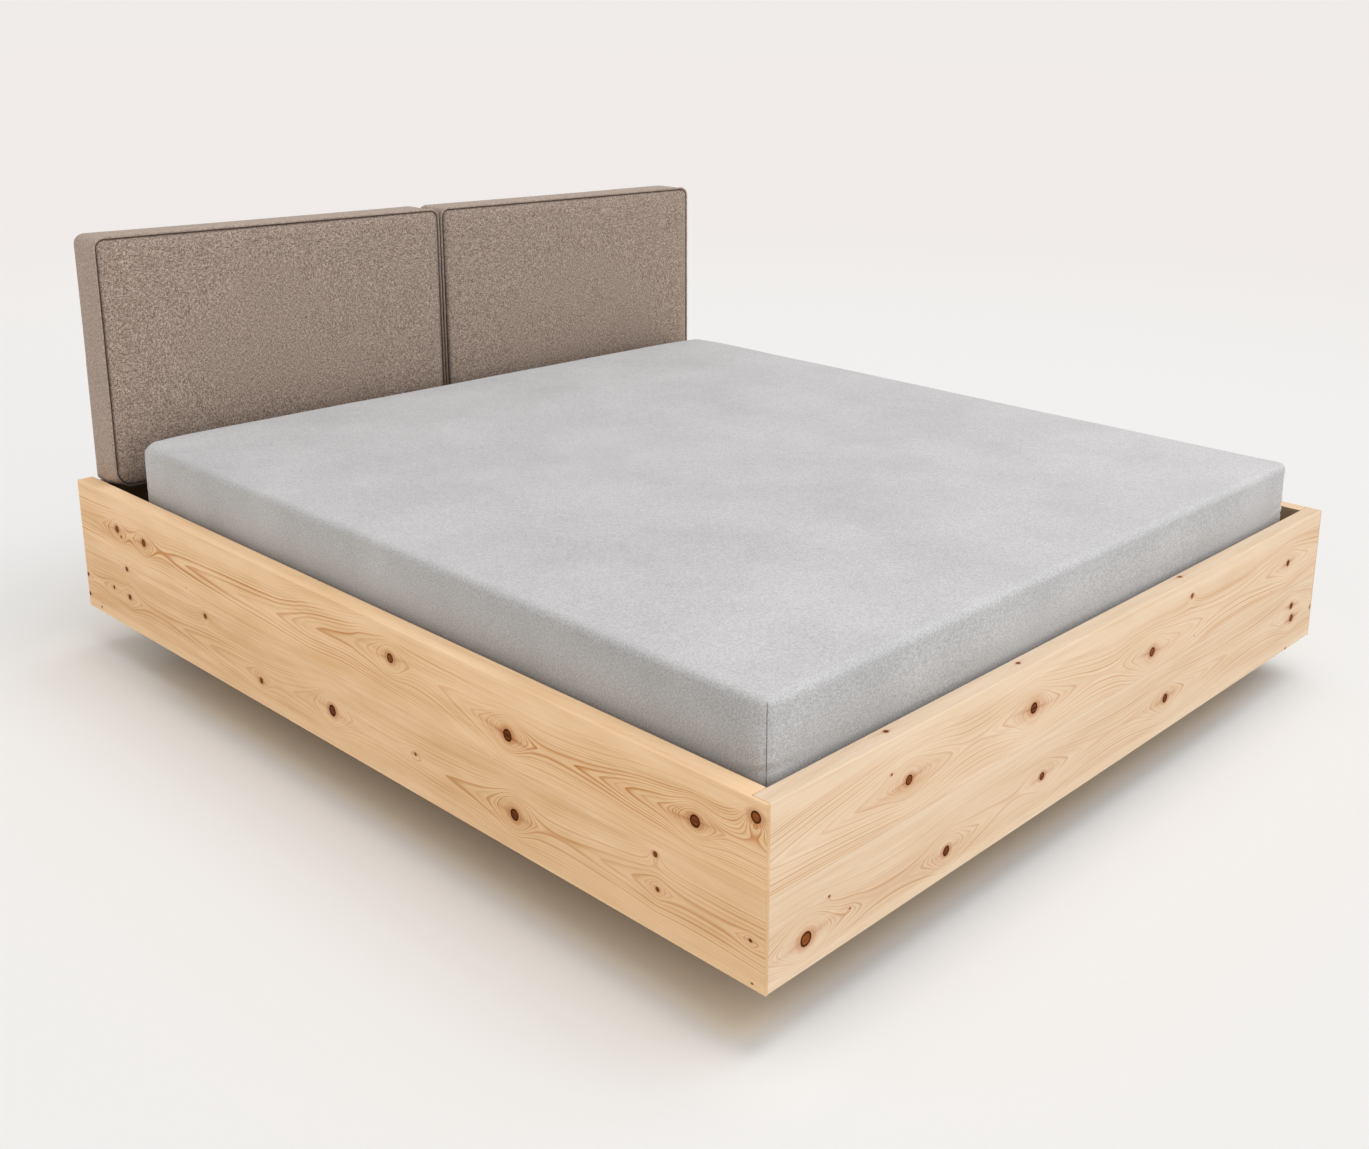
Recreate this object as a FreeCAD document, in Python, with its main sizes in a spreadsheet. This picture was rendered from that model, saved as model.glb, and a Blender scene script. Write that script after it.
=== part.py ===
import FreeCAD, Part
import os
import re

import Sketcher
from FreeCAD import Placement, Rotation, Vector

# Floating platform bed for a 1.8 x 2.0 m mattress, in millimetres.
# The origin is on the floor under the middle of the bed. Seen from the foot, +X is to the right,
# +Y runs from the foot to the headboard and +Z is up.

SIZES = {
    # Mattress, its fitted sheet and the room round them
    "mattress_width": 1800,
    "mattress_length": 2000,
    "mattress_height": 200,
    "mattress_proud": 126,
    "mattress_edge_round": 28,
    "mattress_corner_extra": 6,
    "left_gap": 18,
    "right_gap": 46,
    "foot_gap": 18,
    "head_slot": 76,
    "sheet_thickness": 1.2,
    "soft_clearance": 0.3,
    # Frame boards
    "board_height": 320,
    "board_thickness": 38,
    "floor_gap": 100,
    "corner_lip": 6,
    "edge_round": 2,
    "head_board_drop": 10,
    # Slats, the ledges and the beam that carry them
    "slat_count": 14,
    "slat_width": 85,
    "slat_thickness": 20,
    "slat_round": 4,
    "slat_end_play": 4,
    "slat_margin": 15,
    "ledge_width": 30,
    "ledge_height": 45,
    "beam_width": 60,
    "strap_width": 25,
    "strap_thickness": 1.5,
    # Traverses and the set-back plinth
    "traverse_width": 45,
    "traverse_height": 75,
    "traverse_inset": 140,
    "notch_depth": 20,
    "notch_play": 0.5,
    "plinth_recess": 340,
    "plinth_thickness": 28,
    "block_side": 45,
    "glide_diameter": 26,
    "glide_height": 4,
    # Steel fittings
    "steel_thickness": 3,
    "bracket_leg": 60,
    "bracket_lift": 25,
    "bracket_headroom": 26,
    "shoe_wing": 24,
    "shoe_depth": 40,
    # Screws and dowels
    "screw_shank": 5,
    "screw_head": 9,
    "screw_head_height": 2.5,
    "screw_bite": 22,
    "bore_play": 0.1,
    "bore_tip_room": 1,
    "dowel_diameter": 10,
    "dowel_length": 50,
    "dowel_inset": 55,
    "ledge_screw_count": 5,
    "ledge_screw_inset": 160,
    # Headboard cushions
    "headboard_rise": 588,
    "headboard_depth": 128,
    "headboard_inset": 2,
    "headboard_split": 3,
    "cushion_corner_round": 26,
    "cushion_back_round": 14,
    "cushion_crown": 14,
    "cushion_waist": 3,
    "piping_diameter": 6,
    "piping_stand_out": 2,
    "panel_inset": 20,
    "lining_thickness": 1,
    # Tongues that drop into keepers on the head board
    "tongue_width": 40,
    "tongue_thickness": 5,
    "tongue_reach": 72,
    "tongue_grip": 110,
    "tongue_play": 0.3,
    "keeper_flange": 22,
    "keeper_height": 40,
    "keeper_drop": 15,
    "keeper_play": 0.5,
    # How far a cutting tool passes the face that it enters
    "overrun": 5,
}

doc = FreeCAD.newDocument("platform_bed")
sheet = doc.addObject("Spreadsheet::Sheet", "Sizes")
for row, (alias, number) in enumerate(SIZES.items(), start=1):
    sheet.set(f"A{row}", alias)
    sheet.set(f"B{row}", str(number))
    sheet.setAlias(f"B{row}", alias)
doc.recompute()

# Places and lengths worked out from the sizes, as expressions
INNER_WIDTH = "(mattress_width + left_gap + right_gap)"
OUTER_WIDTH = f"({INNER_WIDTH} + 2 * board_thickness)"
OUTER_LENGTH = "(board_thickness + foot_gap + mattress_length + head_slot + headboard_depth)"
INNER_LENGTH = f"({OUTER_LENGTH} - 2 * board_thickness)"
LEFT = f"(-{OUTER_WIDTH} / 2)"
RIGHT = f"({OUTER_WIDTH} / 2)"
FOOT = f"(-{OUTER_LENGTH} / 2)"
HEAD = f"({OUTER_LENGTH} / 2)"
INNER_LEFT = f"(-{INNER_WIDTH} / 2)"
INNER_RIGHT = f"({INNER_WIDTH} / 2)"
INNER_FOOT = f"(-{INNER_LENGTH} / 2)"
INNER_HEAD = f"({INNER_LENGTH} / 2)"
BOARD_TOP = "(floor_gap + board_height)"
HEAD_BOARD_TOP = f"({BOARD_TOP} - head_board_drop)"
MATTRESS_LEFT = f"({INNER_LEFT} + left_gap)"
MATTRESS_FOOT = f"({INNER_FOOT} + foot_gap)"
SLAT_TOP = f"({BOARD_TOP} + mattress_proud - mattress_height)"
SLAT_BOTTOM = f"({SLAT_TOP} - slat_thickness)"
LEDGE_BOTTOM = f"({SLAT_BOTTOM} - ledge_height)"
TRAVERSE_BOTTOM = f"({LEDGE_BOTTOM} - traverse_height)"
PLINTH_HEIGHT = f"({TRAVERSE_BOTTOM} + notch_depth - glide_height)"
PLINTH_WIDTH = f"({OUTER_WIDTH} - 2 * plinth_recess)"
PLINTH_LENGTH = f"({OUTER_LENGTH} - 2 * plinth_recess)"

SAME_PLACE = 1e-6

parts = []


def bind(text):
    """Point each size named in an expression at its cell."""
    return re.sub(r"[a-z_]+[a-z]", lambda found: f"Sizes.{found[0]}" if found[0] in SIZES else found[0], text)


def mm(text):
    """The present value of an expression."""
    return float(sheet.evalExpression(bind(str(text))))


def part(label, piece):
    """Name a finished sub-part."""
    piece.Label = label
    parts.append(piece)
    return piece


def place(piece, x, y, z, turn=None):
    """Tie a piece's position to the sizes, with an optional fixed turn."""
    if turn:
        piece.Placement = Placement(Vector(), Rotation(*turn))
    for axis, text in zip("xyz", (x, y, z)):
        piece.setExpression(f"Placement.Base.{axis}", bind(text))
    return piece


def block(x, y, z, length, width, height, name="block"):
    """A rectangular piece from its lowest corner."""
    piece = doc.addObject("Part::Box", name)
    for side, text in (("Length", length), ("Width", width), ("Height", height)):
        piece.setExpression(side, bind(text))
    return place(piece, x, y, z)


def profile(outline, depth, plane="XY_Plane", name="profile"):
    """A body padded from an outline of (across, up) points on one of its own planes."""
    body = doc.addObject("PartDesign::Body", name)
    sketch = body.newObject("Sketcher::SketchObject", f"{name}_outline")
    support = next(each for each in body.Origin.OriginFeatures if each.Role == plane)
    sketch.AttachmentSupport = (support, "")
    sketch.MapMode = "FlatFace"
    corners = [Vector(mm(across), mm(up), 0) for across, up in outline]
    for start, end in zip(corners, corners[1:] + corners[:1]):
        sketch.addGeometry(Part.LineSegment(start, end))
    for index, (across, up) in enumerate(outline):
        sketch.addConstraint(Sketcher.Constraint("Coincident", index - 1 if index else len(outline) - 1, 2, index, 1))
        for kind, text in (("DistanceX", across), ("DistanceY", up)):
            rule = sketch.addConstraint(Sketcher.Constraint(kind, -1, 1, index, 1, mm(text)))
            sketch.setExpression(f"Constraints[{rule}]", bind(text))
    pad = body.newObject("PartDesign::Pad", f"{name}_pad")
    pad.Profile = sketch
    pad.setExpression("Length", bind(depth))
    doc.recompute()
    return body


def round_edges(body, radius, wanted):
    """Round the edges of a body whose two end points both pass a test."""
    tip = body.Tip
    names = []
    for index, edge in enumerate(tip.Shape.Edges, start=1):
        if len(edge.Vertexes) == 2 and wanted(edge.Vertexes[0].Point, edge.Vertexes[1].Point):
            names.append(f"Edge{index}")
    fillet = body.newObject("PartDesign::Fillet", f"{body.Name}_round")
    fillet.Base = (tip, names)
    fillet.setExpression("Radius", bind(radius))
    doc.recompute()
    return body


def along(axis, *tests):
    """A test for edges that run along one axis and pass the given tests at both ends."""
    def wanted(start, end):
        step = end - start
        others = [abs(getattr(step, each)) for each in "xyz" if each != axis]
        return max(others) < SAME_PLACE and all(test(start) and test(end) for test in tests)
    return wanted


def near(axis, text):
    """A test for points that lie at a value on an axis."""
    level = mm(text)
    return lambda point: abs(getattr(point, axis) - level) < SAME_PLACE


def solids(shape, name="tool"):
    """A document object that holds a shape made below."""
    piece = doc.addObject("Part::Feature", name)
    piece.Shape = shape
    return piece


def rods(places, diameter, before, after):
    """Plain cylinders along each place's direction, from before its point to after it."""
    radius = mm(diameter) / 2
    made = []
    for point, direction in places:
        start = point - direction * mm(before)
        made.append(Part.makeCylinder(radius, mm(f"{before} + {after}"), start, direction))
    return made


def screws(places, grip):
    """Pan-head screws seated at each place, their shanks through the grip and into the wood."""
    shanks = rods(places, "screw_shank", "0", f"{grip} + screw_bite")
    heads = rods(places, "screw_head", "screw_head_height", "0")
    return Part.makeCompound([head.fuse(shank).removeSplitter() for head, shank in zip(heads, shanks)])


def screw_bores(places, grip):
    """The holes that those screws need."""
    return rods(places, "screw_shank + 2 * bore_play", "overrun", f"{grip} + screw_bite + bore_tip_room")


def cut(piece, tool):
    """A piece less a tool."""
    result = doc.addObject("Part::Cut", f"{piece.Name}_cut")
    result.Base = piece
    result.Tool = tool
    return result


def joined(pieces, kind="Part::MultiFuse", name="joined"):
    """Several pieces as one solid, or as a group of separate solids with kind Part::Compound."""
    result = doc.addObject(kind, name)
    setattr(result, "Links" if kind == "Part::Compound" else "Shapes", pieces)
    return result


def point(x, y, z):
    return Vector(mm(x), mm(y), mm(z))


# Places of the fixings

TO_LEFT, TO_RIGHT = Vector(-1, 0, 0), Vector(1, 0, 0)
TO_FOOT, TO_HEAD = Vector(0, -1, 0), Vector(0, 1, 0)
CORNERS = [
    ("left_foot", INNER_LEFT, INNER_FOOT, 0, TO_LEFT, TO_FOOT),
    ("right_foot", INNER_RIGHT, INNER_FOOT, 90, TO_RIGHT, TO_FOOT),
    ("right_head", INNER_RIGHT, INNER_HEAD, 180, TO_RIGHT, TO_HEAD),
    ("left_head", INNER_LEFT, INNER_HEAD, 270, TO_LEFT, TO_HEAD),
]
BRACKET_BOTTOM = "(floor_gap + bracket_lift)"
BRACKET_HEIGHT = f"({LEDGE_BOTTOM} - bracket_headroom - {BRACKET_BOTTOM})"
SCREW_LEVEL_SHARES = (0.22, 0.78)


def bracket_screw_places():
    places = []
    for _, x, y, _, out_x, out_y in CORNERS:
        for share in SCREW_LEVEL_SHARES:
            level = f"{BRACKET_BOTTOM} + {share} * {BRACKET_HEIGHT}"
            across = f"{x} - ({out_x.x}) * steel_thickness"
            along_rail = f"{y} - ({out_y.y}) * (bracket_leg + steel_thickness) / 2"
            places.append((point(across, along_rail, level), out_x))
            along_end = f"{x} - ({out_x.x}) * (bracket_leg + steel_thickness) / 2"
            inward = f"{y} - ({out_y.y}) * steel_thickness"
            places.append((point(along_end, inward, level), out_y))
    return places


def ledge_screw_places(inner, out):
    """A row of screws through the middle of a ledge into its rail."""
    count = int(mm("ledge_screw_count"))
    places = []
    for index in range(count):
        share = index / (count - 1)
        y = f"{INNER_FOOT} + ledge_screw_inset + {share} * ({INNER_LENGTH} - 2 * ledge_screw_inset)"
        places.append((point(f"{inner} - ({out.x}) * ledge_width", y, f"{LEDGE_BOTTOM} + ledge_height / 2"), out))
    return places


def dowel_places():
    """Foot dowels run along the rails, head dowels into the ends of the head board."""
    places = []
    levels = ("floor_gap + dowel_inset", f"{HEAD_BOARD_TOP} - dowel_inset")
    for level in levels:
        for x, out in ((INNER_LEFT, TO_LEFT), (INNER_RIGHT, TO_RIGHT)):
            middle = f"{x} + ({out.x}) * (board_thickness - corner_lip) / 2"
            places.append((point(middle, INNER_FOOT, level), TO_FOOT))
            places.append((point(x, f"{HEAD} - board_thickness / 2", level), out))
    return places


def shoe_screw_places():
    places = []
    for y, out in ((INNER_FOOT, TO_FOOT), (INNER_HEAD, TO_HEAD)):
        for side in (-1, 1):
            x = f"{side} * (beam_width / 2 + steel_thickness + shoe_wing / 2)"
            places.append((point(x, f"{y} - ({out.y}) * steel_thickness", f"{LEDGE_BOTTOM} + ledge_height / 2"), out))
    return places


bracket_places = bracket_screw_places()
left_ledge_places = ledge_screw_places(INNER_LEFT, TO_LEFT)
right_ledge_places = ledge_screw_places(INNER_RIGHT, TO_RIGHT)
dowel_spots = dowel_places()
shoe_places = shoe_screw_places()

# Headboard places: each cushion fills half the width between the rails

CUSHION_WIDTH = f"(({INNER_WIDTH} - headboard_split) / 2 - headboard_inset)"
CUSHION_BOTTOM = f"({HEAD_BOARD_TOP} + soft_clearance)"
CUSHION_TOP = f"({BOARD_TOP} + headboard_rise)"
CUSHION_HEIGHT = f"({CUSHION_TOP} - {CUSHION_BOTTOM})"
CUSHION_BACK = f"({HEAD} - lining_thickness)"
SEAM_Y = f"({HEAD} - headboard_depth + cushion_crown)"
PANEL_FRONT = f"({INNER_HEAD} - tongue_play)"
TONGUE_SHARES = (0.25, 0.75)
SIDES = (("left", -1), ("right", 1))


def cushion_middle(side):
    return f"({side} * (headboard_split + {CUSHION_WIDTH}) / 2)"


def tongue_middles(side):
    left_edge = f"({cushion_middle(side)} - {CUSHION_WIDTH} / 2)"
    return [f"({left_edge} + {share} * {CUSHION_WIDTH})" for share in TONGUE_SHARES]


def keeper_screw_places():
    places = []
    middle_z = f"{HEAD_BOARD_TOP} - keeper_drop - keeper_height / 2"
    offset = "(tongue_width / 2 + keeper_play + steel_thickness + keeper_flange / 2)"
    for _, side in SIDES:
        for middle in tongue_middles(side):
            for sign in (-1, 1):
                spot = point(f"{middle} + {sign} * {offset}", f"{INNER_HEAD} - steel_thickness", middle_z)
                places.append((spot, TO_HEAD))
    return places


def tongue_screw_places(side):
    """Two screws in the upper part of each tongue."""
    places = []
    for middle in tongue_middles(side):
        for share in SCREW_LEVEL_SHARES:
            level = f"{CUSHION_BOTTOM} + {share} * tongue_grip"
            places.append((point(middle, f"{PANEL_FRONT} - tongue_thickness", level), TO_HEAD))
    return places


keeper_places = keeper_screw_places()

bracket_bores = screw_bores(bracket_places, "steel_thickness")
ledge_bores = screw_bores(left_ledge_places + right_ledge_places, "ledge_width")
shoe_bores = screw_bores(shoe_places, "steel_thickness")
keeper_bores = screw_bores(keeper_places, "steel_thickness")
HALF_DOWEL = "(dowel_length / 2)"
dowel_bores = rods(
    dowel_spots,
    "dowel_diameter + 2 * bore_play",
    f"{HALF_DOWEL} + bore_tip_room",
    f"{HALF_DOWEL} + bore_tip_room",
)
frame_bores = solids(
    Part.makeCompound(bracket_bores + ledge_bores + shoe_bores + keeper_bores + dowel_bores),
    "frame_bores",
)


# Frame boards: the foot board runs the full width, and a thin lip of each rail covers its end

def side_rail(label, outline, x, lip_side):
    body = profile(outline, "board_height", name=f"{label}_stock")
    outer = "0" if lip_side < 0 else "board_thickness"
    top = near("z", "board_height")
    bottom = near("z", "0")
    at_outer = near("x", outer)
    edges = (along("y", at_outer), along("y", top), along("z", at_outer, near("y", "0")))
    round_edges(body, "edge_round", lambda start, end: any(
        test(start, end) for test in edges) and not (bottom(start) and not at_outer(start)))
    place(body, x, FOOT, "floor_gap")
    return part(label, cut(body, frame_bores))


side_rail("left_side_rail", [
    ("0", "0"),
    ("corner_lip", "0"),
    ("corner_lip", "board_thickness"),
    ("board_thickness", "board_thickness"),
    ("board_thickness", OUTER_LENGTH),
    ("0", OUTER_LENGTH),
], LEFT, -1)
side_rail("right_side_rail", [
    ("board_thickness - corner_lip", "0"),
    ("board_thickness", "0"),
    ("board_thickness", OUTER_LENGTH),
    ("0", OUTER_LENGTH),
    ("0", "board_thickness"),
    ("board_thickness - corner_lip", "board_thickness"),
], INNER_RIGHT, 1)


def end_board(label, x, y, length, height):
    """A cross board with its long edges rounded."""
    outline = [("0", "0"), (length, "0"), (length, "board_thickness"), ("0", "board_thickness")]
    body = profile(outline, height, name=f"{label}_stock")
    round_edges(body, "edge_round", along("x"))
    place(body, x, y, "floor_gap")
    return part(label, cut(body, frame_bores))


end_board("foot_board", f"{LEFT} + corner_lip", FOOT, f"{OUTER_WIDTH} - 2 * corner_lip", "board_height")
end_board("head_board", INNER_LEFT, INNER_HEAD, INNER_WIDTH, "board_height - head_board_drop")


# Corner brackets, dowels and their screws

def corner_bracket(name, x, y, turn):
    outline = [
        ("0", "0"),
        ("bracket_leg", "0"),
        ("bracket_leg", "steel_thickness"),
        ("steel_thickness", "steel_thickness"),
        ("steel_thickness", "bracket_leg"),
        ("0", "bracket_leg"),
    ]
    body = profile(outline, BRACKET_HEIGHT, name=f"{name}_bracket_stock")
    place(body, x, y, BRACKET_BOTTOM, (Vector(0, 0, 1), turn))
    return part(f"{name}_bracket", cut(body, solids(Part.makeCompound(bracket_bores), "bracket_bores")))


for corner, corner_x, corner_y, corner_turn, _, _ in CORNERS:
    corner_bracket(corner, corner_x, corner_y, corner_turn)
part("bracket_screws", solids(screws(bracket_places, "steel_thickness")))
part("corner_dowels", solids(Part.makeCompound(rods(dowel_spots, "dowel_diameter", HALF_DOWEL, HALF_DOWEL))))


# Slat ledges, centre beam and its steel shoes

ledge_tool = solids(Part.makeCompound(ledge_bores), "ledge_bores")
left_ledge = block(INNER_LEFT, INNER_FOOT, LEDGE_BOTTOM, "ledge_width", INNER_LENGTH, "ledge_height")
part("left_slat_ledge", cut(left_ledge, ledge_tool))
right_ledge = block(
    f"{INNER_RIGHT} - ledge_width", INNER_FOOT, LEDGE_BOTTOM, "ledge_width", INNER_LENGTH, "ledge_height")
part("right_slat_ledge", cut(right_ledge, ledge_tool))
part("ledge_screws", solids(screws(left_ledge_places + right_ledge_places, "ledge_width")))

part("centre_beam", block(
    "-beam_width / 2",
    f"{INNER_FOOT} + steel_thickness",
    LEDGE_BOTTOM,
    "beam_width",
    f"{INNER_LENGTH} - 2 * steel_thickness",
    "ledge_height",
    "centre_beam",
))


def beam_shoe(label, wall, inward):
    """A steel seat screwed to an end board: a winged back plate, two cheeks and a sill."""
    half = "(beam_width / 2 + steel_thickness)"
    low = f"({LEDGE_BOTTOM} - steel_thickness)"
    tall = "(ledge_height + steel_thickness)"
    plate_y = wall if inward > 0 else f"({wall} - steel_thickness)"
    reach_y = wall if inward > 0 else f"({wall} - shoe_depth)"
    plate = block(f"-{half} - shoe_wing", plate_y, low, f"2 * ({half} + shoe_wing)", "steel_thickness", tall)
    left_cheek = block(f"-{half}", reach_y, low, "steel_thickness", "shoe_depth", tall)
    right_cheek = block("beam_width / 2", reach_y, low, "steel_thickness", "shoe_depth", tall)
    sill = block(f"-{half}", reach_y, low, f"2 * {half}", "shoe_depth", "steel_thickness")
    shoe = joined([plate, left_cheek, right_cheek, sill], name=f"{label}_stock")
    return part(label, cut(shoe, solids(Part.makeCompound(shoe_bores), "shoe_bores")))


beam_shoe("foot_beam_shoe", INNER_FOOT, 1)
beam_shoe("head_beam_shoe", INNER_HEAD, -1)
part("beam_shoe_screws", solids(screws(shoe_places, "steel_thickness")))


# Slats, evenly spaced under the mattress, and the two straps that space them

SLAT_PITCH = "((mattress_length - 2 * slat_margin - slat_width) / (slat_count - 1))"
FIRST_SLAT = f"({MATTRESS_FOOT} + slat_margin)"
slat_outline = [("0", "0"), ("slat_width", "0"), ("slat_width", "slat_thickness"), ("0", "slat_thickness")]
for index in range(int(mm("slat_count"))):
    label = f"slat_{index + 1:02d}"
    slat = profile(slat_outline, f"{INNER_WIDTH} - 2 * slat_end_play", "YZ_Plane", label)
    round_edges(slat, "slat_round", along("x"))
    part(label, place(slat, f"{INNER_LEFT} + slat_end_play", f"{FIRST_SLAT} + {index} * {SLAT_PITCH}", SLAT_BOTTOM))

for name, side in SIDES:
    part(f"{name}_slat_strap", block(
        f"{side} * {INNER_WIDTH} / 4 - strap_width / 2",
        FIRST_SLAT,
        f"{SLAT_BOTTOM} - strap_thickness",
        "strap_width",
        "mattress_length - 2 * slat_margin",
        "strap_thickness",
        f"{name}_slat_strap",
    ))


# Traverses dropped into notches of the set-back plinth

TRAVERSE_MIDDLES = {
    "foot": "traverse_inset",
    "middle": f"({PLINTH_LENGTH} / 2)",
    "head": f"({PLINTH_LENGTH} - traverse_inset)",
}
PLINTH_FOOT = f"({FOOT} + plinth_recess)"
for name, middle in TRAVERSE_MIDDLES.items():
    part(f"{name}_traverse", block(
        INNER_LEFT,
        f"{PLINTH_FOOT} + {middle} - traverse_width / 2",
        TRAVERSE_BOTTOM,
        INNER_WIDTH,
        "traverse_width",
        "traverse_height",
        f"{name}_traverse",
    ))


def notched_outline():
    """A plinth side seen from the left, with a notch for each traverse."""
    outline = [("0", "0"), (PLINTH_LENGTH, "0"), (PLINTH_LENGTH, PLINTH_HEIGHT)]
    half = "(traverse_width / 2 + notch_play)"
    floor = f"({PLINTH_HEIGHT} - notch_depth)"
    for middle in reversed(TRAVERSE_MIDDLES.values()):
        outline += [
            (f"{middle} + {half}", PLINTH_HEIGHT),
            (f"{middle} + {half}", floor),
            (f"{middle} - {half}", floor),
            (f"{middle} - {half}", PLINTH_HEIGHT),
        ]
    return outline + [("0", PLINTH_HEIGHT)]


PLINTH_LEFT = f"({LEFT} + plinth_recess)"
PLINTH_RIGHT = f"({RIGHT} - plinth_recess)"
for label, x in (("plinth_left_board", PLINTH_LEFT), ("plinth_right_board", f"{PLINTH_RIGHT} - plinth_thickness")):
    side_board = profile(notched_outline(), "plinth_thickness", "YZ_Plane", label)
    part(label, place(side_board, x, PLINTH_FOOT, "glide_height"))

PLINTH_HEAD = f"({HEAD} - plinth_recess)"
for label, y in (("plinth_foot_board", PLINTH_FOOT), ("plinth_head_board", f"{PLINTH_HEAD} - plinth_thickness")):
    part(label, block(
        f"{PLINTH_LEFT} + plinth_thickness",
        y,
        "glide_height",
        f"{PLINTH_WIDTH} - 2 * plinth_thickness",
        "plinth_thickness",
        PLINTH_HEIGHT,
        label,
    ))

corner_blocks = []
for x in (f"{PLINTH_LEFT} + plinth_thickness", f"{PLINTH_RIGHT} - plinth_thickness - block_side"):
    for y in (f"{PLINTH_FOOT} + plinth_thickness", f"{PLINTH_HEAD} - plinth_thickness - block_side"):
        corner_blocks.append(block(x, y, "glide_height", "block_side", "block_side", PLINTH_HEIGHT))
part("plinth_corner_blocks", joined(corner_blocks, "Part::Compound"))

glides = []
BLOCK_MIDDLE = "(plinth_thickness + block_side / 2)"
glide_spots = [(x, y) for x in (f"{PLINTH_LEFT} + {BLOCK_MIDDLE}", f"{PLINTH_RIGHT} - {BLOCK_MIDDLE}")
               for y in (f"{PLINTH_FOOT} + {BLOCK_MIDDLE}", f"{PLINTH_HEAD} - {BLOCK_MIDDLE}")]
glide_spots += [(x, "0") for x in (f"{PLINTH_LEFT} + plinth_thickness / 2", f"{PLINTH_RIGHT} - plinth_thickness / 2")]
glide_spots += [("0", y) for y in (f"{PLINTH_FOOT} + plinth_thickness / 2", f"{PLINTH_HEAD} - plinth_thickness / 2")]
for x, y in glide_spots:
    glide = doc.addObject("Part::Cylinder", "glide")
    glide.setExpression("Radius", bind("glide_diameter / 2"))
    glide.setExpression("Height", bind("glide_height"))
    glides.append(place(glide, x, y, "0"))
part("plinth_glides", joined(glides, "Part::Compound"))


# Mattress and the fitted sheet stretched over it

def rounded_slab(inset, name):
    """The mattress form, drawn in by an inset on its sides and top."""
    wide = f"(mattress_width - 2 * {inset})"
    long = f"(mattress_length - 2 * {inset})"
    tall = f"(mattress_height - {inset})"
    body = profile([("0", "0"), (wide, "0"), (wide, long), ("0", long)], tall, name=name)
    round_edges(body, f"mattress_edge_round + mattress_corner_extra - {inset}", along("z"))
    top = near("z", tall)
    round_edges(body, f"mattress_edge_round - {inset}", lambda start, end: top(start) and top(end))
    return place(body, f"{MATTRESS_LEFT} + {inset}", f"{MATTRESS_FOOT} + {inset}", SLAT_TOP)


part("mattress", rounded_slab("(sheet_thickness + soft_clearance)", "mattress"))
part("fitted_sheet", cut(rounded_slab("0", "sheet_outside"), rounded_slab("sheet_thickness", "sheet_inside")))


# Headboard cushions: boxed pads with a crowned front and a piped front seam

def rounded_loop(width, height, radius, middle_x, y, middle_z):
    """A closed outline of four lines and four quarter arcs, standing square to Y."""
    half_w, half_h = width / 2, height / 2
    slant = radius * (1 - 0.5 ** 0.5)
    edges = []
    for right, up in ((1, 1), (-1, 1), (-1, -1), (1, -1)):
        corner = Vector(middle_x + right * half_w, y, middle_z + up * half_h)
        on_side = corner - Vector(0, 0, up * radius)
        on_level = corner - Vector(right * radius, 0, 0)
        apex = corner - Vector(right * slant, 0, up * slant)
        ends = (on_side, on_level) if right * up > 0 else (on_level, on_side)
        edges.append(Part.Arc(ends[0], apex, ends[1]))
    ring = []
    for arc, following in zip(edges, edges[1:] + edges[:1]):
        ring += [arc.toShape(), Part.LineSegment(arc.EndPoint, following.StartPoint).toShape()]
    return Part.Wire(ring)


def cushion_loop(side, inset, y, soften=0):
    """The pad's outline at one depth, inset from the space it fills."""
    drawn_in = mm("piping_stand_out") + inset
    return rounded_loop(
        mm(CUSHION_WIDTH) - 2 * drawn_in,
        mm(CUSHION_HEIGHT) - 2 * drawn_in,
        mm("cushion_corner_round") + soften,
        mm(cushion_middle(side)),
        y,
        mm(f"{CUSHION_BOTTOM} + {CUSHION_HEIGHT} / 2"),
    )


def piping_ring(side, extra):
    """The cord round the front seam, or the groove that it lies in."""
    radius = mm("piping_diameter") / 2
    path = cushion_loop(side, radius - mm("piping_stand_out"), mm(SEAM_Y))
    straight = path.Edges[1]
    start = straight.valueAt(straight.FirstParameter)
    section = Part.Wire(Part.makeCircle(radius + extra, start, straight.tangentAt(straight.FirstParameter)))
    pipe = path.makePipe(section)
    return Part.Solid(Part.Shell(pipe.Faces))


BACK_ROUND_SHARES = ((0, 1), (0.13, 0.5), (0.5, 0.13), (1, 0))
WAIST_SHARES = ((0, 0), (0.2, 0.7), (0.5, 1), (0.8, 0.7), (1, 0))
CROWN_SHARES = ((0, 0), (0.007, 0.25), (0.02, 0.42), (0.06, 0.6), (0.2, 0.82), (0.45, 0.96), (0.7, 1))


def cushion_pad(side):
    """One loft through the rounded back, the waisted border and the crowned front."""
    back, seam = mm(CUSHION_BACK), mm(SEAM_Y)
    shoulder = back - mm("cushion_back_round")
    reach = mm(CUSHION_HEIGHT) / 2
    loops = [cushion_loop(side, mm("cushion_back_round") * inset, back - mm("cushion_back_round") * depth)
             for depth, inset in BACK_ROUND_SHARES]
    loops += [cushion_loop(side, mm("cushion_waist") * inset, shoulder + (seam - shoulder) * depth)
              for depth, inset in WAIST_SHARES[1:]]
    loops += [cushion_loop(side, reach * inset, seam - mm("cushion_crown") * rise, mm("cushion_corner_round") * inset)
              for inset, rise in CROWN_SHARES[1:]]
    return Part.makeLoft(loops, True, True)


PANEL_WIDTH = f"({CUSHION_WIDTH} - 2 * panel_inset)"
PANEL_HEIGHT = f"({CUSHION_HEIGHT} - panel_inset)"

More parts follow.
